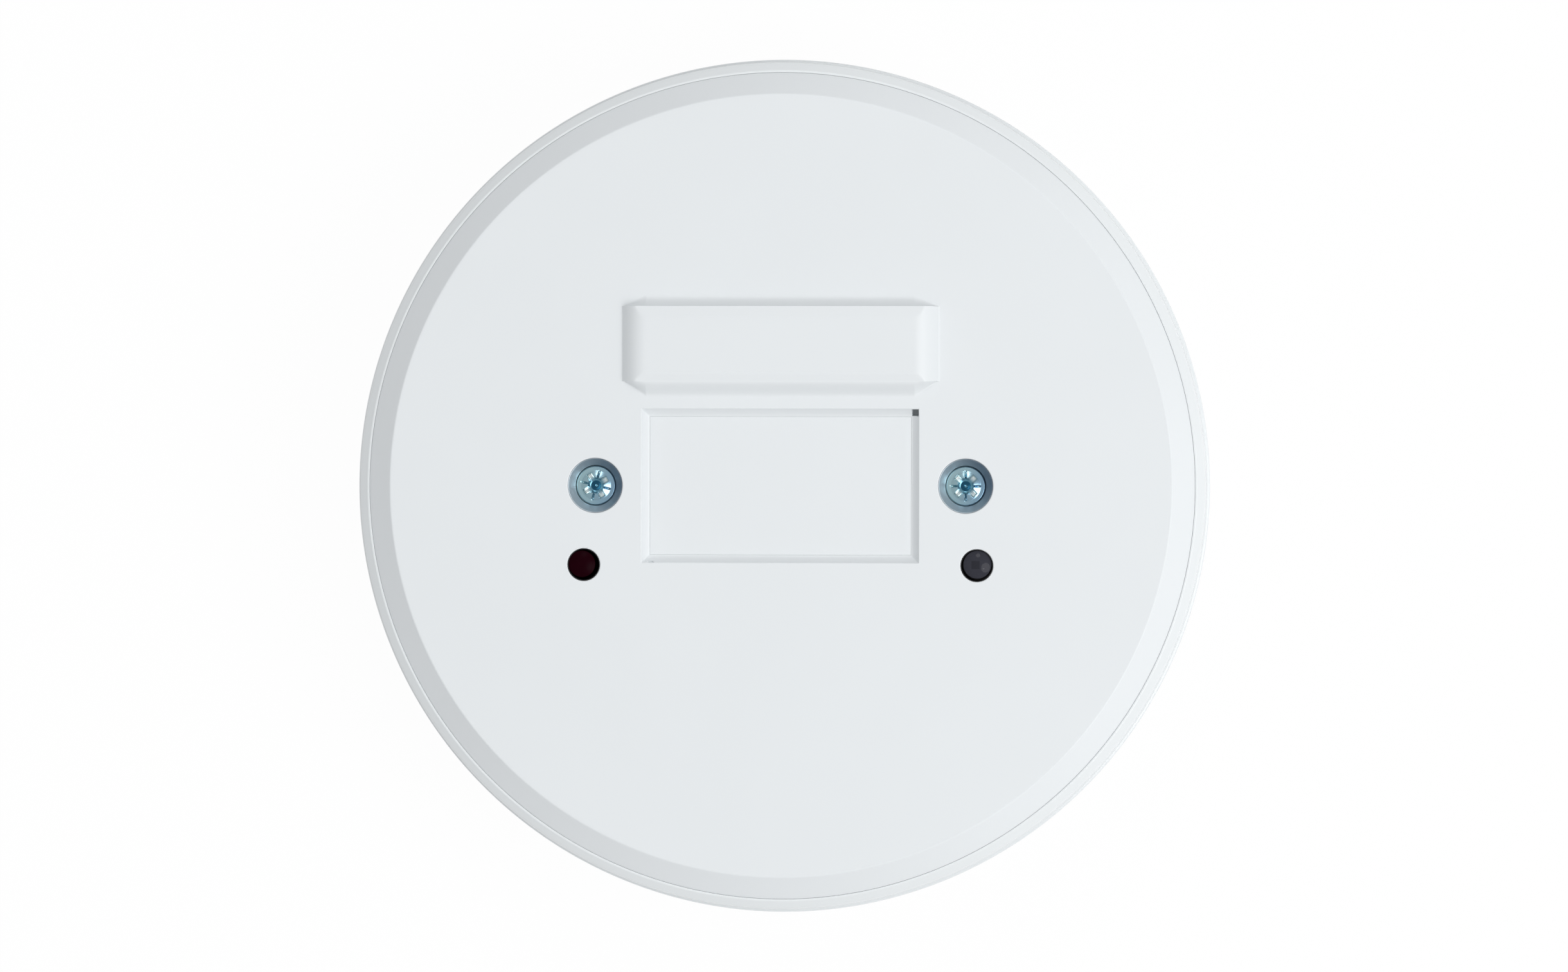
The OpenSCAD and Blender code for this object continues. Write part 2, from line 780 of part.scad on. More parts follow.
module left_cover_screw() {
    at(-screw_x, 0) cover_screw(31);
}

module right_cover_screw() {
    at(screw_x, 0) cover_screw(45);
}

// Black sleeve that holds a light guide in its window
module window_sleeve() {
    color(black) difference() {
        union() {
            disc(sleeve_r, sleeve_foot, sleeve_top - sleeve_foot);
            disc(sleeve_r + 1.2, sleeve_foot + 1.5, plate_z - sleeve_foot - 1.5);
        }
        disc(lens_r + run_gap / 2, sleeve_foot - 1, sleeve_top);
        translate([0, 0, sleeve_top - 0.5])
            cylinder(r1 = lens_r + run_gap / 2, r2 = sleeve_r - 0.1, h = 0.5 + eps);
    }
}

module left_window_sleeve() {
    at(-window_x, -window_drop) window_sleeve();
}

module right_window_sleeve() {
    at(window_x, -window_drop) window_sleeve();
}

// Clear rod that carries light between the board and a domed end in the face
module light_guide() {
    dome_r = (lens_r * lens_r + lens_rise * lens_rise) / (2 * lens_rise);
    top = body_h - 0.4;
    intersection() {
        union() {
            disc(lens_r, guide_foot, top + lens_rise - guide_foot);
            disc(lens_r + 0.9, sleeve_foot - 1.6, 1.6);
        }
        translate([0, 0, top + lens_rise - dome_r]) union() {
            sphere(r = dome_r);
            mirror([0, 0, 1]) cylinder(r = dome_r, h = body_h);
        }
    }
}

module alarm_light_guide() {
    color("#4a0a10") at(-window_x, -window_drop) light_guide();
}

module receiver_light_guide() {
    color("#3a3c43") at(window_x, -window_drop) light_guide();
}

// Blank plate in the label recess
module label_plate() {
    color(satin) block(label_w - 2 * label_draft - joint_gap, label_l - 2 * label_draft - joint_gap,
                       label_seat, label_t);
}

base_plate();
cover_inserts();
cable_grommet();
circuit_board();
board_screws();
terminal_block();
terminal_clamps();
terminal_screws();
chamber_base();
chamber_labyrinth();
chamber_lid();
insect_screen();
ir_emitter();
photodiode();
shield_can();
microcontroller();
small_chips();
capacitors();
chip_resistors();
crystal();
alarm_led();
ir_receiver();
address_switches();
tens_dial();
units_dial();
front_cover();
rim_ring();
inlet_grille();
housing_screws();
left_screw_cup();
right_screw_cup();
left_screw_washer();
right_screw_washer();
left_cover_screw();
right_cover_screw();
left_window_sleeve();
right_window_sleeve();
alarm_light_guide();
receiver_light_guide();
label_plate();
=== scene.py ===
# %% [markdown]
# # A ceiling smoke detector, lying on its back
# The CAD model arrives as a fixed frame in metres: the base plate lies on z = 0 and the face looks
# up. This lesson puts finished surfaces round that frame. The mouldings of a real detector have
# soft edges, so the pieces that show are worked out again with numpy as smooth shells. The small
# works inside keep the frame's own meshes and only get their finishes here.

# %% Load the frame
import json
import math

import bmesh
import bpy
import numpy as np
from mathutils import Matrix, Vector
from mathutils.geometry import delaunay_2d_cdt


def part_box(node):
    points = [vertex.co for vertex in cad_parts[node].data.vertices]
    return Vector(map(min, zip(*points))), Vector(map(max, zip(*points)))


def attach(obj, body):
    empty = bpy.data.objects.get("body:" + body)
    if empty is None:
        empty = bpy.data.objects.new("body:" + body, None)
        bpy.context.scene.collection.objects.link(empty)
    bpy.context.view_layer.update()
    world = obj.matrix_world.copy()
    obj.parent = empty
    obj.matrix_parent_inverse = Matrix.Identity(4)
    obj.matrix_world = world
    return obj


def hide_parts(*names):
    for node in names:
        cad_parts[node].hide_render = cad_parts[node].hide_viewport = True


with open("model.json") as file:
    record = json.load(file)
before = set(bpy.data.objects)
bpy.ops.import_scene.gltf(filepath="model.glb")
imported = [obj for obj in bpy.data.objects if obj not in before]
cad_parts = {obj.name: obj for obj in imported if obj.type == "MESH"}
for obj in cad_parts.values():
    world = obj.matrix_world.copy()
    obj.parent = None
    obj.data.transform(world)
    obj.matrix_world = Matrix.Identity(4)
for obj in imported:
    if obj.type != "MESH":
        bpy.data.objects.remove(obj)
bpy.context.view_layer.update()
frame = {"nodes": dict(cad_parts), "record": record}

MM = 0.001
behaviour = frame["record"]["behaviour"]
BODY_OF = {node: body for body, nodes in behaviour["bodies"].items() for node in nodes}
SLOT_OF = {part["node"]: part["material_slot"] for part in frame["record"]["subparts"]}

# %% [markdown]
# ## Sizes
# Most sizes come from the frame: a node's box gives its outer radius and its heights. Shapes are
# worked out in millimetres and are brought to metres in one place, when a mesh is made. Left and
# right are told apart by SIDES, as the sign of x and the word in a name.

# %% Read the sizes of the housing
def low(node):
    """The lowest corner of a node's box, in millimetres."""
    return np.array(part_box(node)[0]) / MM


def high(node):
    """The highest corner of a node's box, in millimetres."""
    return np.array(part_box(node)[1]) / MM


def middle(node):
    """The centre of a node's box, in millimetres."""
    return (low(node) + high(node)) / 2


SIDES = ((-1, "left"), (1, "right"))
WALL = 2.2  # thickness of the mouldings
CUP_SINK = 0.1  # the cups stop this far below the face
BODY_R = high("rim_ring")[0]
COVER_R = high("front_cover")[0]
BASE_R = high("base_plate")[0]
FACE_Z = high("left_screw_cup")[2] + CUP_SINK
RIM_TOP = high("rim_ring")[2]
RIM_FOOT = low("rim_ring")[2]
GRILLE_FOOT = low("inlet_grille")[2]
BEVEL = FACE_Z - RIM_TOP
FACE_R = COVER_R - BEVEL
PLATE_Z = FACE_Z - WALL
SHELF_Z = RIM_TOP - WALL
SCREW_X = middle("right_cover_screw")[0]
WINDOW_X, WINDOW_Y = middle("right_window_sleeve")[:2]
print(f"body {2 * BODY_R:.1f} mm wide, face at {FACE_Z:.1f} mm, screws {2 * SCREW_X:.1f} mm apart")

# %% [markdown]
# ## From arrays to meshes
# A surface here is a grid of points P[u, v]: neighbours in the array become the corners of a quad.
# A part is a pair of arrays, points and faces. The parts of one piece are joined, and points that
# coincide are merged, which also closes seams and poles.

# %% Grids and copies
def grid(points, wrap_u=False, wrap_v=False):
    """Quads between the neighbours of points[u, v], and back to the start where it wraps."""
    rows, columns = points.shape[:2]
    index = np.arange(rows * columns).reshape(rows, columns)
    if wrap_u:
        index = np.vstack([index, index[:1]])
    if wrap_v:
        index = np.hstack([index, index[:, :1]])
    quads = [index[:-1, :-1], index[1:, :-1], index[1:, 1:], index[:-1, 1:]]
    return points.reshape(-1, 3), np.stack(quads, -1).reshape(-1, 4)


def moved(part, x):
    """A part moved along X."""
    return part[0] + np.array([x, 0.0, 0.0]), part[1]


def turned(part, degrees):
    """A part turned about Z: x' = x cos t - y sin t, y' = x sin t + y cos t."""
    t = np.radians(degrees)
    turn = np.array([[np.cos(t), np.sin(t), 0], [-np.sin(t), np.cos(t), 0], [0, 0, 1]])
    return part[0] @ turn, part[1]


def around(part, count, start=0.0):
    """Copies of a part at equal angles about Z."""
    return [turned(part, start + 360 * i / count) for i in range(count)]


# %% Arrays into a mesh
def mesh_of(name, parts):
    """One mesh in metres from the points and faces of all the parts."""
    starts = np.cumsum([0] + [len(points) for points, _ in parts])
    corners = np.concatenate([(faces + start).ravel()
                              for (_, faces), start in zip(parts, starts)])
    sizes = np.concatenate([np.full(len(faces), faces.shape[1]) for _, faces in parts])
    points = (np.vstack([points for points, _ in parts]) * MM).astype(np.float32)
    mesh = bpy.data.meshes.new(name)
    mesh.vertices.add(starts[-1])
    mesh.vertices.foreach_set("co", points.ravel())
    mesh.loops.add(len(corners))
    mesh.loops.foreach_set("vertex_index", corners.astype(np.int32))
    mesh.polygons.add(len(sizes))
    mesh.polygons.foreach_set("loop_start", (np.cumsum(sizes) - sizes).astype(np.int32))
    mesh.update(calc_edges=True)
    return mesh


# %% Close a mesh
MERGE_WITHIN, NO_LENGTH = 1e-6, 1e-7  # metres


def closed_up(mesh):
    """Merges points that coincide, turns all faces outwards, and counts edges left open."""
    work = bmesh.new()
    work.from_mesh(mesh)
    bmesh.ops.remove_doubles(work, verts=work.verts, dist=MERGE_WITHIN)
    bmesh.ops.dissolve_degenerate(work, edges=work.edges, dist=NO_LENGTH)
    bmesh.ops.recalc_face_normals(work, faces=work.faces)
    loose = sum(not edge.is_manifold for edge in work.edges)
    work.to_mesh(mesh)
    work.free()
    return loose


# %% Make a piece
def make(name, parts, finish, *nodes, sharp=38):
    """A finished piece at the origin that stands for its CAD nodes and rides on their body. Edges
    sharper than the angle in degrees stay sharp, and the rest is shaded smooth."""
    body, slot = BODY_OF[nodes[0]], SLOT_OF[nodes[0]]
    mesh = mesh_of(name, parts)
    loose = closed_up(mesh)
    mesh.polygons.foreach_set("use_smooth", np.ones(len(mesh.polygons), bool))
    mesh.set_sharp_from_angle(angle=math.radians(sharp))
    mesh.materials.append(finish)
    piece = bpy.data.objects.new(name, mesh)
    bpy.context.scene.collection.objects.link(piece)
    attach(piece, body)
    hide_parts(*nodes)
    print(f"{name}: {len(mesh.polygons)} faces, {loose} open edges")

# %% [markdown]
# ## Profiles
# Most of the detector is round, so its pieces are lathe work: a profile of (radius, height) points
# turned about an axis. Moulded corners are never sharp, so a profile is written as a few corner
# points, each with the radius of its rounding, and the arcs are worked out from those. A point just
# beyond each end of an arc keeps the flat next to it flat, because smooth shading blends from point
# to point.

# %% Rounded profiles
GUARD_SHARE = 0.2  # how far that point lies beyond the arc, as a share of its radius


def rounded(corners, steps=5):
    """Corners (x, y, radius) joined by lines, with an arc of that radius tangent to both lines."""
    corners = [np.array((*corner, 0)[:3], float) for corner in corners]
    path = [corners[0][:2]]
    for before, here, after in zip(corners[:-2], corners[1:-1], corners[2:]):
        corner, radius = here[:2], here[2]
        if radius == 0:
            path.append(corner)
            continue
        a, b = before[:2] - corner, after[:2] - corner
        long_a, long_b = np.linalg.norm(a), np.linalg.norm(b)
        a, b = a / long_a, b / long_b
        half = math.acos(np.clip(a @ b, -1, 1)) / 2
        centre = corner + (a + b) / np.linalg.norm(a + b) * radius / math.sin(half)
        reach = radius / math.tan(half)
        start, end = corner + a * reach - centre, corner + b * reach - centre
        sweep = math.atan2(start[0] * end[1] - start[1] * end[0], start @ end)
        t = np.linspace(0, sweep, steps + 1)
        guarded = reach + GUARD_SHARE * radius
        if guarded < long_a / 2:
            path.append(corner + a * guarded)
        path += list(centre + np.outer(np.cos(t), start)
                     + np.outer(np.sin(t), np.array([-start[1], start[0]])))
        if guarded < long_b / 2:
            path.append(corner + b * guarded)
    path.append(corners[-1][:2])
    return np.array(path)


# %% Lathe work
def lathe(profile, x=0.0, y=0.0, steps=128, closed=False):
    """(radius, height) points turned about the vertical at x, y: (x + r cos t, y + r sin t, z).
    A closed profile also joins its last point to its first."""
    t = np.linspace(0, 2 * np.pi, steps, endpoint=False)
    r, z = np.asarray(profile, float).T
    points = np.stack([x + np.outer(r, np.cos(t)), y + np.outer(r, np.sin(t)),
                       np.repeat(z[:, None], steps, 1)], -1)
    return grid(points, wrap_u=closed, wrap_v=True)


def ring_loop(r, x, y, steps):
    """The same circle as one loop of lathe work: (x + r cos t, y + r sin t)."""
    t = np.linspace(0, 2 * np.pi, steps, endpoint=False)
    return np.stack([x + r * np.cos(t), y + r * np.sin(t)], -1)


# %% Rounded rectangles
def rounded_rect(w, l, r, steps=6):
    """Outline of a w by l rectangle whose corners are quarter circles of radius r."""
    t = np.radians(np.linspace(0, 90, steps + 1))
    arc = r * np.stack([np.cos(t), np.sin(t)], -1)
    quarter = np.array([[0, -1], [1, 0]])
    return np.vstack([arc @ np.linalg.matrix_power(quarter, k).T
                      + np.array([sx * (w / 2 - r), sy * (l / 2 - r)])
                      for k, (sx, sy) in enumerate([(1, 1), (-1, 1), (-1, -1), (1, -1)])])


INNER_LOOP, LEAST_R = 0.94, 0.02


def closing(loop):
    """Two more loops that close a level end: one just inside the edge, and its centre."""
    centre = loop.mean(0)
    return [centre + INNER_LOOP * (loop - centre), centre + 0 * loop]


# %% Blocks with rounded edges
def stack(w, l, r, levels, x=0.0, y=0.0, foot=True):
    """Rounded rectangles, one for each (inset, height) of levels, joined into a wall. Its top is
    closed by a level end, and so is its foot, unless it stands on a face with a matching hole."""
    loops = []
    for inset, z in levels:
        outline = rounded_rect(w - 2 * inset, l - 2 * inset, max(r - inset, LEAST_R)) + [x, y]
        loops.append(np.column_stack([outline, np.full(len(outline), float(z))]))
    loops = (closing(loops[0])[::-1] if foot else []) + loops + closing(loops[-1])
    return grid(np.array(loops), wrap_v=True)


def slab(w, l, z0, z1, edge, r, x=0.0, steps=4):
    """A block with edges rounded all round: inset e (1 - cos t) as the height rises e sin t."""
    t = np.radians(np.linspace(0, 90, steps + 1))
    sides = list(zip(np.sin(t), np.cos(t)))
    levels = [(edge * (1 - s), z0 + edge * (1 - c)) for s, c in sides]
    levels += [(edge * (1 - c), z1 - edge * (1 - s)) for s, c in sides]
    return stack(w, l, r, levels, x)


# %% Flat areas with holes
INSIDE_WITH_HOLES, SAME_POINT = 2, 1e-6


def flat(z, outline, holes):
    """The level area inside outline and outside the holes, as a constrained triangulation."""
    loops = [np.asarray(loop) for loop in [outline, *holes]]
    starts = np.cumsum([0] + [len(loop) for loop in loops])
    faces = [list(range(start, start + len(loop))) for start, loop in zip(starts, loops)]
    points = [Vector(p) for p in np.vstack(loops)]
    corners, _, triangles, *_ = delaunay_2d_cdt(points, [], faces, INSIDE_WITH_HOLES, SAME_POINT)
    return np.array([[p.x, p.y, z] for p in corners]), np.array([list(t) for t in triangles])


# %% Round pieces with a worked top
def headed(radius, top, below, lines):
    """A disc whose height is top(x, y), and below its edge a lathe profile on to the axis. Points
    (u, v) of a square fill the disc as x = u sqrt(1 - v v / 2), y = v sqrt(1 - u u / 2)."""
    u, v = np.meshgrid(*[np.linspace(-1, 1, lines)] * 2, indexing="ij")
    across, along = radius * u * np.sqrt(1 - v * v / 2), radius * v * np.sqrt(1 - u * u / 2)
    cap = np.stack([across, along, top(across, along)], -1)
    edge = np.vstack([cap[:-1, 0], cap[-1, :-1], cap[:0:-1, -1], cap[0, :0:-1]])
    way = edge[:, :2] / np.linalg.norm(edge[:, :2], axis=1)[:, None]
    rings = [np.column_stack([way * r, np.full(len(way), z)]) for r, z in below]
    return [grid(cap), grid(np.array([edge, *rings]), wrap_v=True)]

# %% [markdown]
# ## Shader maths
# Finishes are procedural. A small class wraps a shader socket, so that a pattern can be written as
# an expression such as `0.4 + 0.1 * noise`, and each operator adds its Math node.

# %% The socket wrapper
class Wire:
    """A number or colour that flows through the nodes of a tree."""

    def __init__(self, tree, socket):
        self.tree, self.socket = tree, socket

    def maths(self, operation, *values):
        """A Math node fed by the values in order."""
        settings = {"operation": operation}
        return self.tree.node("ShaderNodeMath", settings, dict(enumerate(values)))

    def __add__(self, other): return self.maths("ADD", self, other)
    def __radd__(self, other): return self.maths("ADD", other, self)
    def __sub__(self, other): return self.maths("SUBTRACT", self, other)
    def __rsub__(self, other): return self.maths("SUBTRACT", other, self)
    def __mul__(self, other): return self.maths("MULTIPLY", self, other)
    def __rmul__(self, other): return self.maths("MULTIPLY", other, self)
    def __gt__(self, other): return self.maths("GREATER_THAN", self, other)
    def __lt__(self, other): return self.maths("LESS_THAN", self, other)
    def __mod__(self, other): return self.maths("FLOORED_MODULO", self, other)
    def __abs__(self): return self.maths("ABSOLUTE", self)
    def min(self, other): return self.maths("MINIMUM", self, other)
    def max(self, other): return self.maths("MAXIMUM", self, other)
    def clamp(self): return self.max(0.0).min(1.0)

    def within(self, start, end):
        """A smooth step: 0 at start and 1 at end."""
        return self.tree.node("ShaderNodeMapRange", {"interpolation_type": "SMOOTHSTEP"},
                                {"Value": self, "From Min": start, "From Max": end})


# %% The node tree
class Tree:
    """A node tree that ends in one surface node."""

    def __init__(self, owner, surface, uniform):
        """Sets what is the same all over on the surface node's own sockets."""
        owner.use_nodes = True
        self.tree = owner.node_tree
        self.surface = self.tree.nodes[surface]
        for socket, value in uniform.items():
            self.surface.inputs[socket.replace("_", " ")].default_value = value

    def node(self, kind, settings=None, values=None, out=0):
        """Adds any node: its settings, then its sockets' values or links, and gives one output."""
        made = self.tree.nodes.new(kind)
        for key, value in (settings or {}).items():
            setattr(made, key, value)
        for socket, value in (values or {}).items():
            if isinstance(value, Wire):
                self.tree.links.new(value.socket, made.inputs[socket])
            else:
                made.inputs[socket].default_value = value
        return Wire(self, made.outputs[out])

    def feed(self, **links):
        """Links what varies over the surface to the surface node's sockets."""
        for socket, wire in links.items():
            self.tree.links.new(wire.socket, self.surface.inputs[socket.replace("_", " ")])


# %% The shader
MIX_FACTOR, MIX_A, MIX_B, MIX_COLOUR = 0, 6, 7, 2  # sockets of a Mix node set to colours


class Shader(Tree):
    """A material's Principled BSDF, and the patterns that finishes are made of."""

    def __init__(self, name, **uniform):
        self.material = bpy.data.materials.new(name)
        super().__init__(self.material, "Principled BSDF", uniform)

    def place(self):
        """Object coordinates in metres."""
        return self.node("ShaderNodeTexCoord", out="Object")

    def axes(self):
        """The three object coordinates in millimetres."""
        split = self.node("ShaderNodeSeparateXYZ", values={"Vector": self.place()}).socket.node
        return [Wire(self, output) * 1000.0 for output in split.outputs]

    def noise(self, size, detail=3.0):
        """Noise from 0 to 1 whose lumps are about size millimetres wide."""
        return self.node("ShaderNodeTexNoise", values={
            "Vector": self.place(), "Detail": detail, "Scale": 1000.0 / size, "Roughness": 0.5})

    def mix(self, factor, a, b):
        """A colour that goes from a to b as factor goes from 0 to 1."""
        ends = {MIX_A: a, MIX_B: b}
        values = {i: v if isinstance(v, Wire) else (*v, 1) for i, v in ends.items()}
        return self.node("ShaderNodeMix", {"data_type": "RGBA"}, {MIX_FACTOR: factor, **values},
                         out=MIX_COLOUR)

    def bump(self, height, distance, strength=1.0):
        """Relief from a height of 0 to 1 over distance millimetres."""
        self.feed(Normal=self.node("ShaderNodeBump", values={
            "Height": height, "Distance": distance * MM, "Strength": strength}))


def shade(colour, factor):
    """A colour made lighter or darker."""
    return tuple(c * factor for c in colour)


COLOURS = {slot["slot"]: tuple(slot["base_color"][:3]) for slot in frame["record"]["materials"]}
print({name: [round(c, 2) for c in colour] for name, colour in COLOURS.items()})

# %% [markdown]
# ## Plastics
# The housing is moulded in satin white, and its rim in a glossier one. A mould leaves a fine
# sparked grain on the surface and faint flow marks in the colour, so noise at two scales drives
# both. Grain, relief and the sizes of patterns are in millimetres.

# %% Moulded plastics
def plastic(name, colour, roughness, grain=0.35, relief=0.004, coat=0.0, flow=0.015):
    """Moulded plastic: flow mottling in the colour, and a fine grain in the relief."""
    made = Shader(name, IOR=1.49, Coat_Weight=coat, Coat_Roughness=0.08)
    mottle = made.noise(14.0, 2.0)
    made.feed(Base_Color=made.mix(mottle, shade(colour, 1 - flow), shade(colour, 1 + flow / 2)))
    made.feed(Roughness=roughness - 0.03 + 0.06 * made.noise(3.0))
    made.bump(made.noise(grain, 2.0), relief)
    return made.material


satin_white = plastic("satin_white_plastic", COLOURS["satin_white_moulding"], 0.42)
gloss_white = plastic("gloss_white_plastic", COLOURS["gloss_white_moulding"], 0.22,
                      relief=0.0015, coat=0.4)
black_plastic = plastic("black_plastic", COLOURS["black_moulding"], 0.42, flow=0.2)
cream_plastic = plastic("cream_plastic", COLOURS["cream_moulding"], 0.4)
orange_plastic = plastic("orange_plastic", COLOURS["orange_moulding"], 0.4, flow=0.06)
blue_plastic = plastic("blue_plastic", COLOURS["blue_moulding"], 0.4, flow=0.06)
nylon = plastic("natural_nylon", COLOURS["nylon"], 0.5, flow=0.05)
rubber = plastic("black_rubber", COLOURS["rubber"], 0.65, grain=0.5, relief=0.01, flow=0.2)
chip_epoxy = plastic("chip_epoxy", COLOURS["chip_epoxy"], 0.55, grain=0.12, relief=0.01, flow=0.15)
sleeve_film = plastic("capacitor_film", COLOURS["capacitor_sleeve"], 0.25, flow=0.08)

# %% [markdown]
# ## Bare metals
# Terminals, pins and clamps are tinned steel, the inserts are turned brass and the insect screen is
# steel gauze. One even metallic colour looks like paint, so clouds drive brightness and roughness.

# %% Metals
def metal(name, colour, roughness):
    """Plated or turned metal: cloudy brightness, uneven roughness and a fine relief."""
    made = Shader(name, Metallic=1.0)
    cloud = made.noise(2.5, 4.0)
    made.feed(Base_Color=made.mix(cloud, shade(colour, 0.85), shade(colour, 1.1)))
    made.feed(Roughness=roughness - 0.06 + 0.12 * made.noise(1.2))
    made.bump(made.noise(0.3, 4.0), 0.002)
    return made.material


tinned = metal("tinned_steel", COLOURS["tinned_steel"], 0.28)
brass = metal("turned_brass", COLOURS["brass"], 0.25)
gauze = metal("steel_gauze", COLOURS["steel_gauze"], 0.45)

# %% [markdown]
# ## Passivated zinc
# The cover screws and their cups are zinc plated with a clear blue passivation. Their colour is
# painted shade: pale teal on the left of a fitting, deeper blue on its right, with small clouds.

# %% Blue zinc
HEAD_TOP = high("right_cover_screw")[2]
# Painted highlight along the recess's upper edges and painted shade in the recess: their depths,
# then their colours.
HIGHLIGHT_FROM, HIGHLIGHT_TO, RECESS_SHADE_FROM = (0.64, 0.70), (1.15, 0.95), (0.95, 1.2)  # mm down
PAINTED_HIGHLIGHT, RECESS_PAINTED_SHADE = (0.86, 0.92, 0.9), (0.13, 0.29, 0.38)
# Lit and shaded ends of the painted shade across the screws and across the cups.
SCREW_PAINTED_LIT, SCREW_PAINTED_SHADE = (0.42, 0.61, 0.63), (0.20, 0.33, 0.47)
CUP_PAINTED_LIT, CUP_PAINTED_SHADE = (0.62, 0.70, 0.75), (0.17, 0.22, 0.28)


def blue_zinc(name, x, pale, deep, lean, roughness, spread, metallic):
    """Zinc coloured with painted shade: pale to deep over the width of a fitting centred at x, and
    leaning along y. Gives the shader, the painted colour and the height z."""
    made = Shader(name, Metallic=metallic)
    across, along, z = made.axes()
    clouds = 0.25 * (made.noise(1.6, 2.0) - 0.5)
    # Painted shade: paler on the left of the fitting, deeper on the right, leaning a little along
    # y.
    painted_shade = (0.5 + 0.12 * (across - x) + lean * along + clouds).clamp()
    made.feed(Roughness=roughness + spread * made.noise(0.6))
    made.bump(made.noise(0.14), 0.0012)
    return made, made.mix(painted_shade, pale, deep), z


def screw_finish(name, x):
    """A deeper blue in the recess is painted shade, and a bright band along its upper edges is a
    painted highlight.
    """
    made, zinc_painted_shade, z = blue_zinc(name, x, SCREW_PAINTED_LIT, SCREW_PAINTED_SHADE, -0.03, 0.14, 0.08, 1.0)
    depth = HEAD_TOP - z
    # Painted shade in the recess, then a painted highlight along its upper edges.
    deep = made.mix(depth.within(*RECESS_SHADE_FROM), zinc_painted_shade, RECESS_PAINTED_SHADE)
    highlight_mask = depth.within(*HIGHLIGHT_FROM) * depth.within(*HIGHLIGHT_TO)
    made.feed(Base_Color=made.mix(highlight_mask, deep, PAINTED_HIGHLIGHT))
    return made.material


def cup_finish(name, x):
    """The cup's colour is greyer and duller than the screw's, with the same painted shade across
    it.
    """
    made, zinc_painted_shade, _ = blue_zinc(name, x, CUP_PAINTED_LIT, CUP_PAINTED_SHADE, 0.05, 0.36, 0.1, 0.85)
    made.feed(Base_Color=zinc_painted_shade)
    return made.material


screw_zinc = {side: screw_finish(f"{word}_screw_zinc", side * SCREW_X) for side, word in SIDES}
cup_zinc = {side: cup_finish(f"{word}_cup_zinc", side * SCREW_X) for side, word in SIDES}

# %% [markdown]
# ## Lenses
# The light guides are moulded in a plastic so dark that they read as near black. The red one is
# dull, and the grey one is polished and lets the square chip of the receiver show through faintly.

# %% Tinted lenses
CHIP_HALF, CHIP_SOFT, CHIP_SHOWS = 0.6, 0.12, 0.6


def lens(name, colour, gloss=0.5, roughness=0.06, chip=None):
    """Dark tinted plastic with a polished face, whose tint is a little uneven. At a chip's centre
    (x, y) the tint halves where the larger of |x| and |y| from there is within the chip."""
    made = Shader(name, IOR=1.52, Specular_IOR_Level=gloss)
    tint = made.mix(made.noise(1.5), shade(colour, 0.85), shade(colour, 1.15))
    if chip:
        x, y, _ = made.axes()
        far = abs(x - chip[0]).max(abs(y - chip[1]))
        inside = far.within(CHIP_HALF + CHIP_SOFT, CHIP_HALF)
        tint = made.mix(CHIP_SHOWS * inside, tint, shade(colour, 0.5))
    made.feed(Base_Color=tint)
    made.feed(Roughness=roughness + 0.05 * made.noise(0.8))
    return made.material


red_lens = lens("red_lens", (0.0115, 0.0001, 0.0022), 0.02, 0.3)
grey_lens = lens("grey_lens", (0.036, 0.037, 0.048), 0.1, 0.04, (WINDOW_X - 0.2, WINDOW_Y + 0.1))
smoked_epoxy = lens("smoked_epoxy", COLOURS["smoked_epoxy"])
red_epoxy = lens("red_epoxy", COLOURS["red_epoxy"])

# %% [markdown]
# ## Circuit board
# Solder resist covers copper tracks, so a track shows only as a paler green ridge. The tracks run
# along one axis in some patches and across in others, and plated holes are scattered between them.

# %% Board laminate
TRACK_PITCH, TRACK_EDGE = 1.1, (0.2, 0.14)
PATCH_SIZE, HOLE_PITCH, HOLE_EDGE = 1000 / 110, 1000 / 230, (0.14, 0.12)
SOLDER = (0.75, 0.74, 0.70)


def laminate_finish():
    """Tracks are stripes along x or y, patch by patch, and plated holes are dots on cell points.
    A stripe is 1 where |(x mod p) - p / 2| is small, for a pitch p."""
    made = Shader("green_laminate", IOR=1.5, Coat_Weight=0.5, Coat_Roughness=0.1)
    x, y, _ = made.axes()
    patch = made.node("ShaderNodeTexVoronoi", {"distance": "CHEBYCHEV"}, {
        "Vector": made.place(), "Scale": 1000 / PATCH_SIZE, "Randomness": 0.7}, out="Color")
    pick = made.node("ShaderNodeSeparateColor", values={"Color": patch})
    stripe_x, stripe_y = [abs((p % TRACK_PITCH) - TRACK_PITCH / 2).within(*TRACK_EDGE)
                          for p in (x, y)]
    track = (pick > 0.62) * stripe_x + (pick < 0.34) * stripe_y
    near = made.node("ShaderNodeTexVoronoi",
                     values={"Vector": made.place(), "Scale": 1000 / HOLE_PITCH})
    plated = near.within(*HOLE_EDGE)
    base = COLOURS["green_laminate"]
    resist = made.mix(track, base, tuple(1.7 * c + 0.01 for c in base))
    made.feed(Base_Color=made.mix(plated, resist, SOLDER))
    made.feed(Metallic=plated)
    made.feed(Roughness=0.3 + 0.12 * made.noise(4.0))
    made.bump(track.max(plated), 0.04, 0.7)
    return made.material


laminate = laminate_finish()

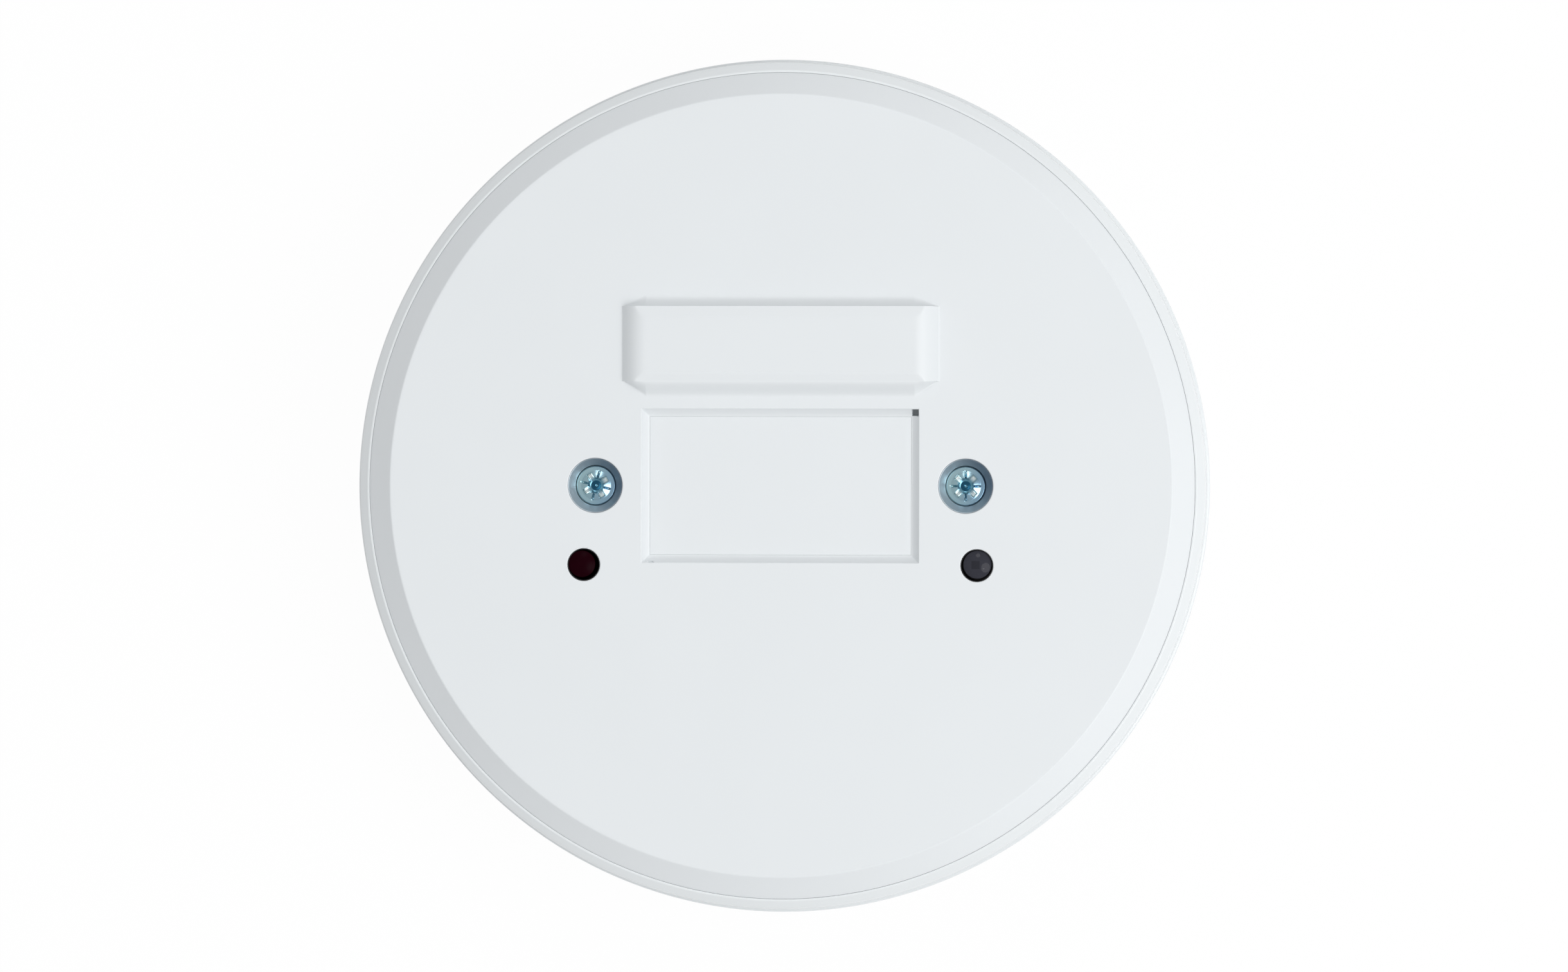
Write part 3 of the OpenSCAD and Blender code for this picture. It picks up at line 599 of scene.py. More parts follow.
# %% Finish of each node
FINISHES = {
    "satin_white_moulding": satin_white, "gloss_white_moulding": gloss_white,
    "black_moulding": black_plastic, "rubber": rubber, "red_lens": red_lens,
    "grey_lens": grey_lens, "blue_zinc": screw_zinc[1], "brass": brass, "tinned_steel": tinned,
    "steel_gauze": gauze, "nylon": nylon, "green_laminate": laminate,
    "blue_moulding": blue_plastic, "cream_moulding": cream_plastic,
    "orange_moulding": orange_plastic, "chip_epoxy": chip_epoxy, "smoked_epoxy": smoked_epoxy,
    "red_epoxy": red_epoxy, "capacitor_sleeve": sleeve_film,
}
for node, part in frame["nodes"].items():
    part.data.materials.clear()
    part.data.materials.append(FINISHES[SLOT_OF[node]])
print(len(FINISHES), "finishes on", len(SLOT_OF), "nodes")

# %% [markdown]
# ## The face plate
# One moulding carries the flat face, its bevel, the raised bar and the label recess. Relief on a
# flat face is simplest as a height over x and y, on a grid whose lines are close together only
# where the height changes. The round holes are lathe profiles, and a triangulation fills the level
# area between them all.

# %% Height helpers
def soft(x, r):
    """max(x, 0) with its corner at 0 rounded over a reach of r."""
    return np.where(x > r, x, np.where(x < -r, 0.0, (x + r) ** 2 / (4 * r)))


def lower_of(a, b, r):
    """min(a, b) with the corner between them rounded over a height of r."""
    return a - soft(a - b, r)


def spread(*spans):
    """Grid lines from spans of (start, end, step)."""
    stops = [np.linspace(a, b, max(int(round((b - a) / step)), 1) + 1) for a, b, step in spans]
    return np.unique(np.round(np.concatenate(stops), 4))


def both_sides(lines):
    """The lines and their mirror images about 0."""
    return np.unique(np.round(np.concatenate([-lines, lines]), 4))


def relief(xs, ys, height):
    """A patch z = height(x, y) over the grid lines, and its border as a loop."""
    x, y = np.meshgrid(xs, ys, indexing="ij")
    patch = grid(np.stack([x, y, height(x, y)], -1))
    border = np.vstack([np.column_stack([xs[:-1], np.full(len(xs) - 1, ys[0])]),
                        np.column_stack([np.full(len(ys) - 1, xs[-1]), ys[:-1]]),
                        np.column_stack([xs[:0:-1], np.full(len(xs) - 1, ys[-1])]),
                        np.column_stack([np.full(len(ys) - 1, xs[0]), ys[:0:-1]])])
    return patch, border


# %% [markdown]
# ## The raised bar
# The bar has round-shouldered ends. Each long side sweeps up out of the face to a fine crest,
# hollow on the upper side and S-shaped on the lower one, and from the crest a gentle slope goes on
# to the flat top. The sweep narrows to nothing at the ends.

# %% Height of the bar
BAR_W, BAR_L, BAR_H = 51.5, 12.1, high("front_cover")[2] - FACE_Z
BAR_Y, BAR_RAMP, RAMP_POWER = 23.1, 4.4, 2.6
CREST_H, CREST_ROUND, TOP_ROUND = 2.1, 0.1, 0.05
UPPER_SWEEP, LOWER_SWEEP, UPPER_BAND, LOWER_BAND, UPPER_POWER = 2.0, 2.6, 1.7, 1.2, 2.4
SWEEP_START, SWEEP_RUN, SWEEP_LEAST = 0.3, 3.6, 0.05  # how the sweep widens from an end


def bar_height(x, y):
    """Ramp at the ends: H (1 - (1 - e / R)^2.6). Beyond the crest, at q = 1 - g / S, the height is
    C q^2.4 on the upper side and C q^2 (3 - 2 q) on the lower one."""
    from_end = BAR_W / 2 - np.abs(x)
    from_crest = BAR_L / 2 - np.abs(y - BAR_Y)
    upper = y > BAR_Y
    ramp = BAR_H * (1 - np.clip(1 - from_end / BAR_RAMP, 0, 1) ** RAMP_POWER)
    band = np.where(upper, UPPER_BAND, LOWER_BAND)
    slope = CREST_H + (BAR_H - CREST_H) * from_crest / band
    inside = lower_of(lower_of(ramp, slope, CREST_ROUND), BAR_H + 0 * x, TOP_ROUND)
    widen = np.clip((from_end - SWEEP_START) / SWEEP_RUN, SWEEP_LEAST, 1)
    q = np.clip(1 + from_crest / (np.where(upper, UPPER_SWEEP, LOWER_SWEEP) * widen), 0, 1)
    crest = lower_of(ramp, CREST_H + 0 * x, CREST_ROUND)
    outside = crest * np.where(upper, q ** UPPER_POWER, q ** 2 * (3 - 2 * q))
    return FACE_Z + np.where(from_end <= 0, 0, np.where(from_crest >= 0, inside, outside))


# %% Grid of the bar
NEAR, CLOSE = 0.3, 0.15  # how far finer lines reach to each side of a fold


def bar_lines(edge, band, sweep):
    """Lines across one half of the bar, closest together at its crest."""
    top = edge - band
    return spread((0, top - NEAR, 1.0), (top - NEAR, top + NEAR, 0.06),
                  (top + NEAR, edge - CLOSE, 0.12), (edge - CLOSE, edge + CLOSE, 0.03),
                  (edge + CLOSE, edge + sweep + NEAR, 0.12))


ramp_foot, bar_end = BAR_W / 2 - BAR_RAMP - 0.4, BAR_W / 2 + 0.1
bar_xs = both_sides(spread((0, ramp_foot, 3.0), (ramp_foot, bar_end, 0.14),
                           (bar_end, bar_end + 0.4, 0.2)))
bar_ys = BAR_Y + np.unique(np.concatenate([-bar_lines(BAR_L / 2, LOWER_BAND, LOWER_SWEEP),
                                           bar_lines(BAR_L / 2, UPPER_BAND, UPPER_SWEEP)]))
bar_patch, bar_border = relief(bar_xs, bar_ys, bar_height)
print("bar", len(bar_xs), "by", len(bar_ys), "lines")

# %% [markdown]
# ## The label recess
# The walls of the recess leave the face at a sharp lip and curve out to its floor, which is the
# label plate itself. A deep pocket at the upper right corner takes a blade to lift the plate, and
# the lip has a small nick at the lower left.

# %% Depth of the recess
LABEL_W, LABEL_L = 45.2, 25.1
LABEL_DEPTH = FACE_Z - high("label_plate")[2]
SEAT_DEPTH = FACE_Z - low("label_plate")[2]
DRAFT = LABEL_W / 2 - high("label_plate")[0] - 0.02
LIP_ROUND, WALL_POWER, SEAT_STEP = 0.07, 1.6, 0.02
POCKET_DEPTH, POCKET_SLOPE, POCKET_EDGE, POCKET_WALL = 3.3, 0.3, 0.08, 0.05
NICK_X, NICK_Y = (-21.7, -20.5), (-LABEL_L / 2 - 0.02, -LABEL_L / 2 + 0.28)
NICK_DEPTH, NICK_SLOPE, NICK_WALL = 0.6, 0.3, 0.05


def ramped(x, start, end, slope_in, slope_out):
    """1 between start and end, falling to 0 over slope_in at start and over slope_out at end."""
    return np.clip(np.minimum((x - start) / slope_in, (end - x) / slope_out), 0, 1)


def label_height(x, y):
    """Depth of the wall at d inside the lip: D (1 - (1 - d / W)^1.6), and a step to the seat."""
    inside = soft(np.minimum(LABEL_W / 2 - np.abs(x), LABEL_L / 2 - np.abs(y)), LIP_ROUND)
    depth = LABEL_DEPTH * (1 - np.clip(1 - inside / DRAFT, 0, 1) ** WALL_POWER)
    depth = depth + (SEAT_DEPTH - LABEL_DEPTH) * np.clip((inside - DRAFT) / SEAT_STEP, 0, 1)
    pocket = [ramped(p, size / 2 - DRAFT + 0.01, size / 2 - POCKET_EDGE, POCKET_SLOPE, POCKET_WALL)
              for p, size in ((x, LABEL_W), (y, LABEL_L))]
    nick = NICK_DEPTH * (ramped(x, *NICK_X, NICK_SLOPE, NICK_SLOPE)
                         * ramped(y, *NICK_Y, NICK_WALL, NICK_WALL))
    return FACE_Z - np.maximum(np.maximum(depth, nick), POCKET_DEPTH * np.minimum(*pocket))


# %% Grid of the recess
def recess_lines(size):
    """Lines across the recess, closest together at its lip and where its walls meet the seat."""
    edge = size / 2
    foot = edge - DRAFT
    walls = both_sides(spread((0, foot - 1.2, 2.5), (foot - 1.2, foot - 0.16, 0.13),
                              (foot - 0.12, foot - 0.02, 0.1), (foot - 0.02, foot, 0.02),
                              (foot, edge - 0.12, 0.08), (edge - 0.12, edge + 0.12, 0.03),
                              (edge + 0.12, edge + 0.5, 0.15)))
    pocket_end = edge - POCKET_EDGE
    return np.unique(np.concatenate([walls, [pocket_end - POCKET_WALL, pocket_end]]))


label_xs = np.unique(np.concatenate([recess_lines(LABEL_W), np.linspace(*NICK_X, 9)]))
label_patch, label_border = relief(label_xs, recess_lines(LABEL_L), label_height)
print(f"recess {LABEL_DEPTH:.2f} mm deep, seat {SEAT_DEPTH:.2f} mm deep")

# %% [markdown]
# ## Bosses, holes and skirt
# Each profile starts and ends on a level face, with a strip of that face as wide as GUARD round it,
# so that the triangles of the level area never touch an arc.

# %% Screw bosses
GUARD = 0.25
CUP_R = high("right_screw_cup")[0] - SCREW_X + 0.04
CUP_FOOT = low("right_screw_cup")[2] - 0.02
CUP_LIP = CUP_R + 0.22
BOSS_R, BOSS_FOOT, BORE_R = CUP_R + 1.1, CUP_FOOT - 1.7, 2.0
screw_hole = rounded([
    (CUP_LIP + GUARD, FACE_Z), (CUP_LIP, FACE_Z), (CUP_R, FACE_Z, 0.2),
    (CUP_R - 0.5, CUP_FOOT, 0.1), (BORE_R, CUP_FOOT, 0.1), (BORE_R, BOSS_FOOT, 0.15),
    (BOSS_R, BOSS_FOOT, 0.3), (BOSS_R, PLATE_Z, 0.4), (BOSS_R + 0.6, PLATE_Z),
    (BOSS_R + 0.9, PLATE_Z)])
print(f"screw cups sit in holes {2 * CUP_R:.2f} mm wide")

# %% Window holes and housing screw lugs
FLANGE_STEP, COLLAR_H = 1.2, 2.8
SLEEVE_R = high("right_window_sleeve")[0] - WINDOW_X - FLANGE_STEP
WINDOW_R = SLEEVE_R + 0.05
WINDOW_LIP, COLLAR_IN, COLLAR_OUT = WINDOW_R + 0.2, WINDOW_R + 1.3, WINDOW_R + 2.4
window_hole = rounded([
    (WINDOW_LIP + GUARD, FACE_Z), (WINDOW_LIP, FACE_Z), (WINDOW_R, FACE_Z, 0.18),
    (WINDOW_R, PLATE_Z), (COLLAR_IN, PLATE_Z), (COLLAR_IN, PLATE_Z - COLLAR_H, 0.1),
    (COLLAR_OUT, PLATE_Z - COLLAR_H, 0.2), (COLLAR_OUT, PLATE_Z, 0.3),
    (COLLAR_OUT + 0.4, PLATE_Z), (COLLAR_OUT + 0.7, PLATE_Z)])
SCREW_HEAD_R, LUG_BOSS_R, LUG_BORE_R = 2.5, 3.0, 1.25
LUG_R = np.hypot(*(high("housing_screws")[:2] - SCREW_HEAD_R))
lug_boss = rounded([
    (LUG_BOSS_R + 0.8, PLATE_Z), (LUG_BOSS_R + 0.5, PLATE_Z), (LUG_BOSS_R, PLATE_Z, 0.4),
    (LUG_BOSS_R, RIM_FOOT, 0.3), (LUG_BORE_R, RIM_FOOT, 0.1), (LUG_BORE_R, SHELF_Z - 1),
    (0, SHELF_Z - 0.6)])
print(f"windows {2 * WINDOW_R:.2f} mm wide, lugs {LUG_R:.1f} mm from the axis")

# %% Bevel and skirt
SKIRT_IN, SKIRT_FOOT, FACE_EDGE = COVER_R - WALL, SHELF_Z + 0.01, FACE_R - 0.4
skirt = rounded([
    (FACE_EDGE - GUARD, FACE_Z), (FACE_EDGE, FACE_Z), (FACE_R, FACE_Z, 0.45),
    (COVER_R, RIM_TOP, 0.12), (COVER_R, SKIRT_FOOT, 0.2), (SKIRT_IN, SKIRT_FOOT, 0.2),
    (SKIRT_IN, PLATE_Z, 1.2), (SKIRT_IN - 2.0, PLATE_Z), (SKIRT_IN - 2.3, PLATE_Z)], steps=7)
print(f"face {2 * FACE_R:.1f} mm wide inside a bevel of {BEVEL:.1f} mm")

# %% Pad under the recess, and hollow in the bar
FILLET, PAD_EDGE, PAD_ROUND, HOLLOW_ROUND = 0.3, 0.2, 1.0, 0.6
pad_size, hollow_size = (LABEL_W + 4.4, LABEL_L + 4.4), (BAR_W - 2 * BAR_RAMP - 2, BAR_L - 5)
pad_foot, hollow_top = FACE_Z - SEAT_DEPTH - WALL + 0.6, FACE_Z + 0.3
pad = stack(*pad_size, PAD_ROUND, [(-FILLET, PLATE_Z), (0, PLATE_Z), (0, pad_foot + PAD_EDGE),
                                   (PAD_EDGE, pad_foot)], foot=False)
hollow = stack(*hollow_size, HOLLOW_ROUND, [(-FILLET, PLATE_Z), (0, PLATE_Z), (0, hollow_top)],
               y=BAR_Y, foot=False)


def fillet_line(size, r, y=0.0):
    """The outline where the fillet of a pad or hollow meets the plate."""
    return rounded_rect(size[0] + 2 * FILLET, size[1] + 2 * FILLET, r + FILLET) + [0, y]


# %% Assemble the face plate
SKIRT_STEPS, SCREW_STEPS, WINDOW_STEPS, LUG_STEPS = 320, 128, 96, 48
holes = [(side * SCREW_X, 0.0, screw_hole, SCREW_STEPS) for side, _ in SIDES]
holes += [(side * WINDOW_X, WINDOW_Y, window_hole, WINDOW_STEPS) for side, _ in SIDES]
lugs = [(LUG_R * math.cos(a), LUG_R * math.sin(a), lug_boss, LUG_STEPS)
        for a in np.radians([45, 135, 225, 315])]
top_face = flat(FACE_Z, ring_loop(skirt[0][0], 0, 0, SKIRT_STEPS),
                [bar_border, label_border] + [ring_loop(p[0][0], x, y, n) for x, y, p, n in holes])
under_face = flat(PLATE_Z, ring_loop(skirt[-1][0], 0, 0, SKIRT_STEPS),
                  [ring_loop(p[-1][0], x, y, n) for x, y, p, n in holes]
                  + [ring_loop(p[0][0], x, y, n) for x, y, p, n in lugs]
                  + [fillet_line(pad_size, PAD_ROUND),
                     fillet_line(hollow_size, HOLLOW_ROUND, BAR_Y)])
make("face_plate", [lathe(skirt, steps=SKIRT_STEPS), bar_patch, label_patch, top_face, under_face,
                    pad, hollow] + [lathe(p, x, y, n) for x, y, p, n in holes + lugs],
     satin_white, "front_cover", sharp=50)

# %% [markdown]
# ## Rim and inlet ring
# The rim is one glossy lathe profile: a crowned slope that leaves the cover's edge as a fine line,
# a steep wall and a narrow ledge at its foot. The ring under it is two hoops joined by many ribs,
# and each rib flares where it meets a hoop, as a moulded one does.

# %% Rim
LEDGE_Z = RIM_FOOT + 3.2
TOP_IN = COVER_R + 0.03
LIP_R = TOP_IN + 0.14
GRILLE_R = BODY_R - 3.5
GRILLE_IN = GRILLE_R - WALL
SHELF_IN, SHELF_FOOT = GRILLE_IN - 1, SHELF_Z - WALL
rim_profile = rounded([
    (LIP_R, RIM_TOP), (LIP_R + 0.2, RIM_TOP, 0.2), (BODY_R - 0.85, RIM_TOP - 1.0, 1.0),
    (BODY_R - 0.62, LEDGE_Z, 0.4), (BODY_R, LEDGE_Z, 0.3), (BODY_R, RIM_FOOT, 0.2),
    (BODY_R - WALL, RIM_FOOT, 0.1), (BODY_R - WALL, RIM_FOOT + 1.6, 0.3),
    (GRILLE_IN, SHELF_FOOT, 0.3), (SHELF_IN, SHELF_FOOT, 0.2), (SHELF_IN, SHELF_Z, 0.2),
    (TOP_IN, SHELF_Z, 0.1), (TOP_IN, RIM_TOP, 0.1), (LIP_R, RIM_TOP)], steps=8)
make("rim", [lathe(rim_profile[:-1], steps=384, closed=True)], gloss_white, "rim_ring")

# %% Hoops of the inlet ring
INLETS, INLET_W = 60, 3.4
SLOT_FOOT, SLOT_TOP = GRILLE_FOOT + 2.4, RIM_FOOT - 1.8
FLANGE_TOP, FLANGE_LOW, HOOP_START = GRILLE_FOOT + 1.2, RIM_FOOT - 1.4, GRILLE_IN + 0.5
lower_hoop = rounded([
    (HOOP_START, GRILLE_FOOT), (BASE_R - 0.6, GRILLE_FOOT, 0.2), (BASE_R - 0.6, FLANGE_TOP, 0.3),
    (GRILLE_R, FLANGE_TOP, 0.4), (GRILLE_R, SLOT_FOOT, 0.2), (GRILLE_IN, SLOT_FOOT, 0.2),
    (GRILLE_IN, GRILLE_FOOT, 0.2), (HOOP_START, GRILLE_FOOT)])
upper_hoop = rounded([
    (HOOP_START, SLOT_TOP), (GRILLE_R, SLOT_TOP, 0.2), (GRILLE_R, FLANGE_LOW, 0.15),
    (BODY_R - 0.6, FLANGE_LOW, 0.3), (BODY_R - 0.6, RIM_FOOT, 0.1), (GRILLE_IN, RIM_FOOT, 0.2),
    (GRILLE_IN, SLOT_TOP, 0.2), (HOOP_START, SLOT_TOP)])
hoops = [lathe(hoop[:-1], steps=360, closed=True) for hoop in (lower_hoop, upper_hoop)]
print(f"{INLETS} inlets, each {INLET_W} mm wide and {SLOT_TOP - SLOT_FOOT:.1f} mm high")


# %% Ribs of the inlet ring
def rib(flare_h=1.4, flare_w=0.7):
    """A rounded outline lofted up. Where n goes from 0 to 1 near an end, it is wider on each side
    by w (1 - sqrt(1 - n n))."""
    height = SLOT_TOP - SLOT_FOOT
    climb = flare_h * np.linspace(0, 1, 6) ** 1.5
    z = np.concatenate([climb, height - climb[::-1]])
    near = 1 - np.clip(np.minimum(z, height - z) / flare_h, 0, 1)
    flare = flare_w * (1 - np.sqrt(1 - near ** 2))
    middle_r = GRILLE_R - WALL / 2
    width = 2 * math.pi * middle_r / INLETS - INLET_W
    loops = []
    for level, extra in zip(z, flare):
        outline = rounded_rect(WALL - 0.04, width + 2 * extra, 0.4, 4) + [middle_r, 0]
        loops.append(np.column_stack([outline, np.full(len(outline), SLOT_FOOT + level)]))
    return grid(np.array(loops), wrap_v=True)


# %% Screw tabs, and the whole inlet ring
TAB_Z0, TAB_Z1, TAB_EDGE = RIM_FOOT - 2, RIM_FOOT - 0.01, 0.2
tabs = [stack(7.2, 7.2, 3.4, [(TAB_EDGE, TAB_Z0), (0, TAB_Z0 + TAB_EDGE), (0, TAB_Z1 - TAB_EDGE),
                              (TAB_EDGE, TAB_Z1)], x=LUG_R),
        slab(7.4, 7.2, TAB_Z0, TAB_Z1, 0.15, 0.2, x=LUG_R + 3.7)]
make("inlet_ring",
     hoops + around(rib(), INLETS) + [copy for tab in tabs for copy in around(tab, 4, 45)],
     gloss_white, "inlet_grille")

# %% [markdown]
# ## Label plate
# The floor of the recess is a thin plate of its own that lifts out. It stays blank, so a block with
# very fine edges is enough, and the gap round it shows as a dark hairline.

# %% Blank label plate
plate_low, plate_high = low("label_plate"), high("label_plate")
plate_w, plate_l, _ = plate_high - plate_low
make("blank_label", [slab(plate_w, plate_l, plate_low[2], plate_high[2], 0.025, 0.05)],
     satin_white, "label_plate")

# %% [markdown]
# ## Cover screws
# Two pan head screws with a crosshead recess hold the cover. Four wings and a round core are cut
# into a low crown on the head, and four fine ticks mark the diagonals between the wings. The height
# of the head is a function of x and y: the cut follows the distance to the outline of the wings.

# %% Sizes of a cover screw's head
HEAD_R, HEAD_SEAT = 3.275, HEAD_TOP - 2.3
TIP_Z = low("right_cover_screw")[2]
CROWN_R, CROWN, CROWN_ROUND, DISH = 2.45, 0.46, 0.03, 0.01
ROLL_RUN, ROLL_DROP = 0.3, 0.35
WING_L, WING_W, WING_TAPER, CORE_R = 2.2, 0.68, 0.09, 1.3
RECESS_DEPTH, RECESS_RISE, RECESS_RUN, RECESS_POWER = 1.5, 0.42, 0.26, 1.5
POINT_R, POINT_RUN, POINT_DEPTH = 0.85, 0.6, 0.5
TICK_W, TICK_START, TICK_END, TICK_FADE, TICK_DEPTH = 0.2, 0.2, 2.6, 0.5, 0.35


# %% Head of a cover screw
def screw_head(angle):
    """z = top - crown - edge roll - recess depth x (1 in the wings, 0 outside), at a turn in
    degrees. The core goes deeper to a point, and the ticks are grooves on the diagonals."""
    c, s = math.cos(math.radians(angle)), math.sin(math.radians(angle))

    def height(x, y):
        a, b, r = c * x + s * y, c * y - s * x, np.hypot(x, y)
        crown = soft(CROWN * (1 - (r / CROWN_R) ** 2), CROWN_ROUND)
        roll = np.clip((r - HEAD_R + ROLL_RUN) / ROLL_RUN, 0, 1)
        z = HEAD_TOP - CROWN + crown - DISH * r ** 2 - ROLL_DROP * (1 - np.sqrt(1 - roll ** 2))
        wings = [np.maximum(np.abs(q) - WING_W + WING_TAPER * np.abs(p), np.abs(p) - WING_L)
                 for p, q in ((a, b), (b, a))]
        edge = np.minimum(np.minimum(*wings), r - CORE_R)
        wall = 1 - (1 - np.clip(-edge / RECESS_RUN, 0, 1)) ** RECESS_POWER
        z = z - (RECESS_DEPTH - RECESS_RISE * r) * wall
        z = z - POINT_DEPTH * np.clip((POINT_R - r) / POINT_RUN, 0, 1)
        d, e = np.abs(a + b) / math.sqrt(2), np.abs(a - b) / math.sqrt(2)
        along, across = np.maximum(d, e), np.minimum(d, e)
        tick = (np.clip(1 - across / TICK_W, 0, 1) * np.clip((along - CORE_R) / TICK_START, 0, 1)
                * np.clip((TICK_END - along) / TICK_FADE, 0, 1))
        return z - TICK_DEPTH * tick
    return height


# %% Thread
THREAD_LEAD = 1.0  # the thread grows to its full height over this length from the tip


def thread(r_root, r_crest, z0, z1, pitch, steps=36):
    """A closed screw surface: radius root + (crest - root) x tooth of (height / pitch - turn)."""
    t = np.linspace(0, 2 * np.pi, steps, endpoint=False)
    z = np.arange(z0, z1, pitch / 8)
    phase = (z[:, None] / pitch - t[None, :] / (2 * np.pi)) % 1
    tooth = np.clip(1.5 - 4 * np.abs(phase - 0.5), 0, 1)
    tooth = tooth * np.clip((z[:, None] - z0) / THREAD_LEAD, 0, 1)
    r = r_root + (r_crest - r_root) * tooth
    rings = np.stack([r * np.cos(t), r * np.sin(t), np.repeat(z[:, None], steps, 1)], -1)
    tip, end = rings[:1] * [0, 0, 1], rings[-1:] * [0, 0, 1]
    return grid(np.concatenate([tip, rings, end]), wrap_v=True)


# %% Whole cover screws
SHANK_R, THREAD_ROOT, THREAD_CREST, THREAD_PITCH = 1.7, 1.4, 1.74, 0.6
below_head = [(HEAD_R, HEAD_TOP - 1.1), (HEAD_R, HEAD_SEAT + 0.15), (HEAD_R - 0.15, HEAD_SEAT),
              (SHANK_R + 0.05, HEAD_SEAT), (SHANK_R, HEAD_SEAT - 0.1),
              (SHANK_R, HEAD_SEAT - 1.5), (0, HEAD_SEAT - 1.5)]
screw_thread = thread(THREAD_ROOT, THREAD_CREST, TIP_Z, HEAD_SEAT - 1.0, THREAD_PITCH)
for (side, word), turn in zip(SIDES, (31, 45)):
    parts = [*headed(HEAD_R, screw_head(turn), below_head, lines=161), screw_thread]
    make(f"{word}_crosshead_screw", [moved(part, side * SCREW_X) for part in parts],
         screw_zinc[side], f"{word}_cover_screw", sharp=32)

# %% [markdown]
# ## Cups, sleeves and light guides
# Each screw sits in a pressed cup with a rolled lip. Each indicator window is a black sleeve round
# the domed end of a light guide. They are lathe work on their own axes, and the guides stand a
# little to one side in their sleeves.

# %% Screw cups
CUP_TOP, CUP_BORE, CUP_WELL = high("right_screw_cup")[2] - 0.02, 2.2, HEAD_R + 0.04
CUP_UNDER, CUP_SEAT = CUP_FOOT + 0.04, CUP_FOOT + 0.42
cup = rounded([
    (CUP_BORE, CUP_SEAT), (CUP_WELL, CUP_SEAT, 0.1), (CUP_WELL, HEAD_TOP - 0.05, 0.25),
    (CUP_R - 0.14, CUP_TOP, 0.1), (CUP_R - 0.05, CUP_TOP, 0.05), (CUP_R - 0.56, CUP_UNDER, 0.1),
    (CUP_BORE, CUP_UNDER), (CUP_BORE, CUP_SEAT)], steps=6)
for side, word in SIDES:
    make(f"{word}_pressed_cup", [lathe(cup[:-1], side * SCREW_X, steps=128, closed=True)],
         cup_zinc[side], f"{word}_screw_cup")

# %% Window sleeves
SLEEVE_FOOT, SLEEVE_TOP = low("right_window_sleeve")[2], high("right_window_sleeve")[2]
SLEEVE_OUT, SLEEVE_BORE, FLANGE_R = SLEEVE_R + 0.02, SLEEVE_R - 0.1, SLEEVE_R + FLANGE_STEP
FLANGE_SEAT, FLANGE_UNDER = PLATE_Z - 0.02, SLEEVE_FOOT + 1.5
sleeve = rounded([
    (SLEEVE_BORE, SLEEVE_FOOT + 1), (SLEEVE_BORE, SLEEVE_TOP, 0.04),
    (SLEEVE_OUT, SLEEVE_TOP, 0.04), (SLEEVE_OUT, FLANGE_SEAT, 0.05), (FLANGE_R, FLANGE_SEAT, 0.2),
    (FLANGE_R, FLANGE_UNDER, 0.2), (SLEEVE_R, FLANGE_UNDER, 0.2), (SLEEVE_R, SLEEVE_FOOT, 0.1),
    (SLEEVE_BORE, SLEEVE_FOOT, 0.1), (SLEEVE_BORE, SLEEVE_FOOT + 1)])
print(f"sleeves {2 * SLEEVE_R:.2f} mm wide and {SLEEVE_TOP - SLEEVE_FOOT:.1f} mm long")

# %% Light guides
GUIDE_FOOT, GUIDE_TOP = low("alarm_light_guide")[2], high("alarm_light_guide")[2]
STOP_TOP, STOP_FOOT, STOP_STEP = SLEEVE_FOOT - 0.05, SLEEVE_FOOT - 1.6, 0.9


def light_guide(r, crown):
    """A rod with a stop collar, under a dome c high on a sphere of radius (r r + c c) / 2 c."""
    sphere = (r * r + crown * crown) / (2 * crown)
    sweep = np.linspace(math.asin(r / sphere), 0, 17)
    dome = np.column_stack([sphere * np.sin(sweep), GUIDE_TOP - sphere * (1 - np.cos(sweep))])
    rim = GUIDE_TOP - crown
    rod = rounded([(0, GUIDE_FOOT), (r - 0.1, GUIDE_FOOT), (r - 0.1, STOP_FOOT, 0.1),
                   (r + STOP_STEP, STOP_FOOT, 0.15), (r + STOP_STEP, STOP_TOP, 0.15),
                   (r, STOP_TOP, 0.1), (r, rim - 0.12), (r, rim)])
    return np.vstack([rod[:-1], [[r, rim - 0.02]], dome])


for side, word, node, r, crown, dx, dy, finish in (
        (-1, "left", "alarm_light_guide", 2.15, 0.5, -0.30, 0.12, red_lens),
        (1, "right", "receiver_light_guide", 2.27, 0.6, 0.1, 0.16, grey_lens)):
    x = side * WINDOW_X
    make(f"{word}_black_sleeve", [lathe(sleeve[:-1], x, WINDOW_Y, WINDOW_STEPS, closed=True)],
         black_plastic, f"{word}_window_sleeve")
    guide = lathe(light_guide(r, crown), x + dx, WINDOW_Y + dy, WINDOW_STEPS)
    make(f"{word}_domed_guide", [guide], finish, node)

# %% [markdown]
# ## Camera, light and floor
# The camera looks almost straight down on the face, from a little to the right. A large softbox on
# the same side gives the bevel its gradient, one behind lifts the far side, and a tiny one puts a
# sparkle on the lenses. The world fills the rest: it is brightest overhead, and a little brighter
# on the right. The floor and the world are plain white where the camera sees them, and the floor
# still takes the shadow.

# %% Camera
CAMERA_DISTANCE, FRAME_WIDTH = 1.0, 0.25767
TARGET = Vector((0.00012, -0.00004, 0.0252))
SIDE_TILT, ROLL = math.radians(2.8), math.radians(0.125)
direction = Vector((math.sin(SIDE_TILT), 0, math.cos(SIDE_TILT)))
right = Matrix.Rotation(ROLL, 3, direction) @ Vector((0, 1, 0)).cross(direction).normalized()
camera_data = bpy.data.cameras.new("camera")
camera_data.lens = camera_data.sensor_width * CAMERA_DISTANCE / FRAME_WIDTH
camera = bpy.data.objects.new("camera", camera_data)
camera.matrix_world = Matrix.LocRotScale(
    TARGET + direction * CAMERA_DISTANCE,
    Matrix((right, direction.cross(right), direction)).transposed(), None)
scene = bpy.context.scene
scene.collection.objects.link(camera)
scene.camera = camera
scene.view_settings.view_transform = "Standard"
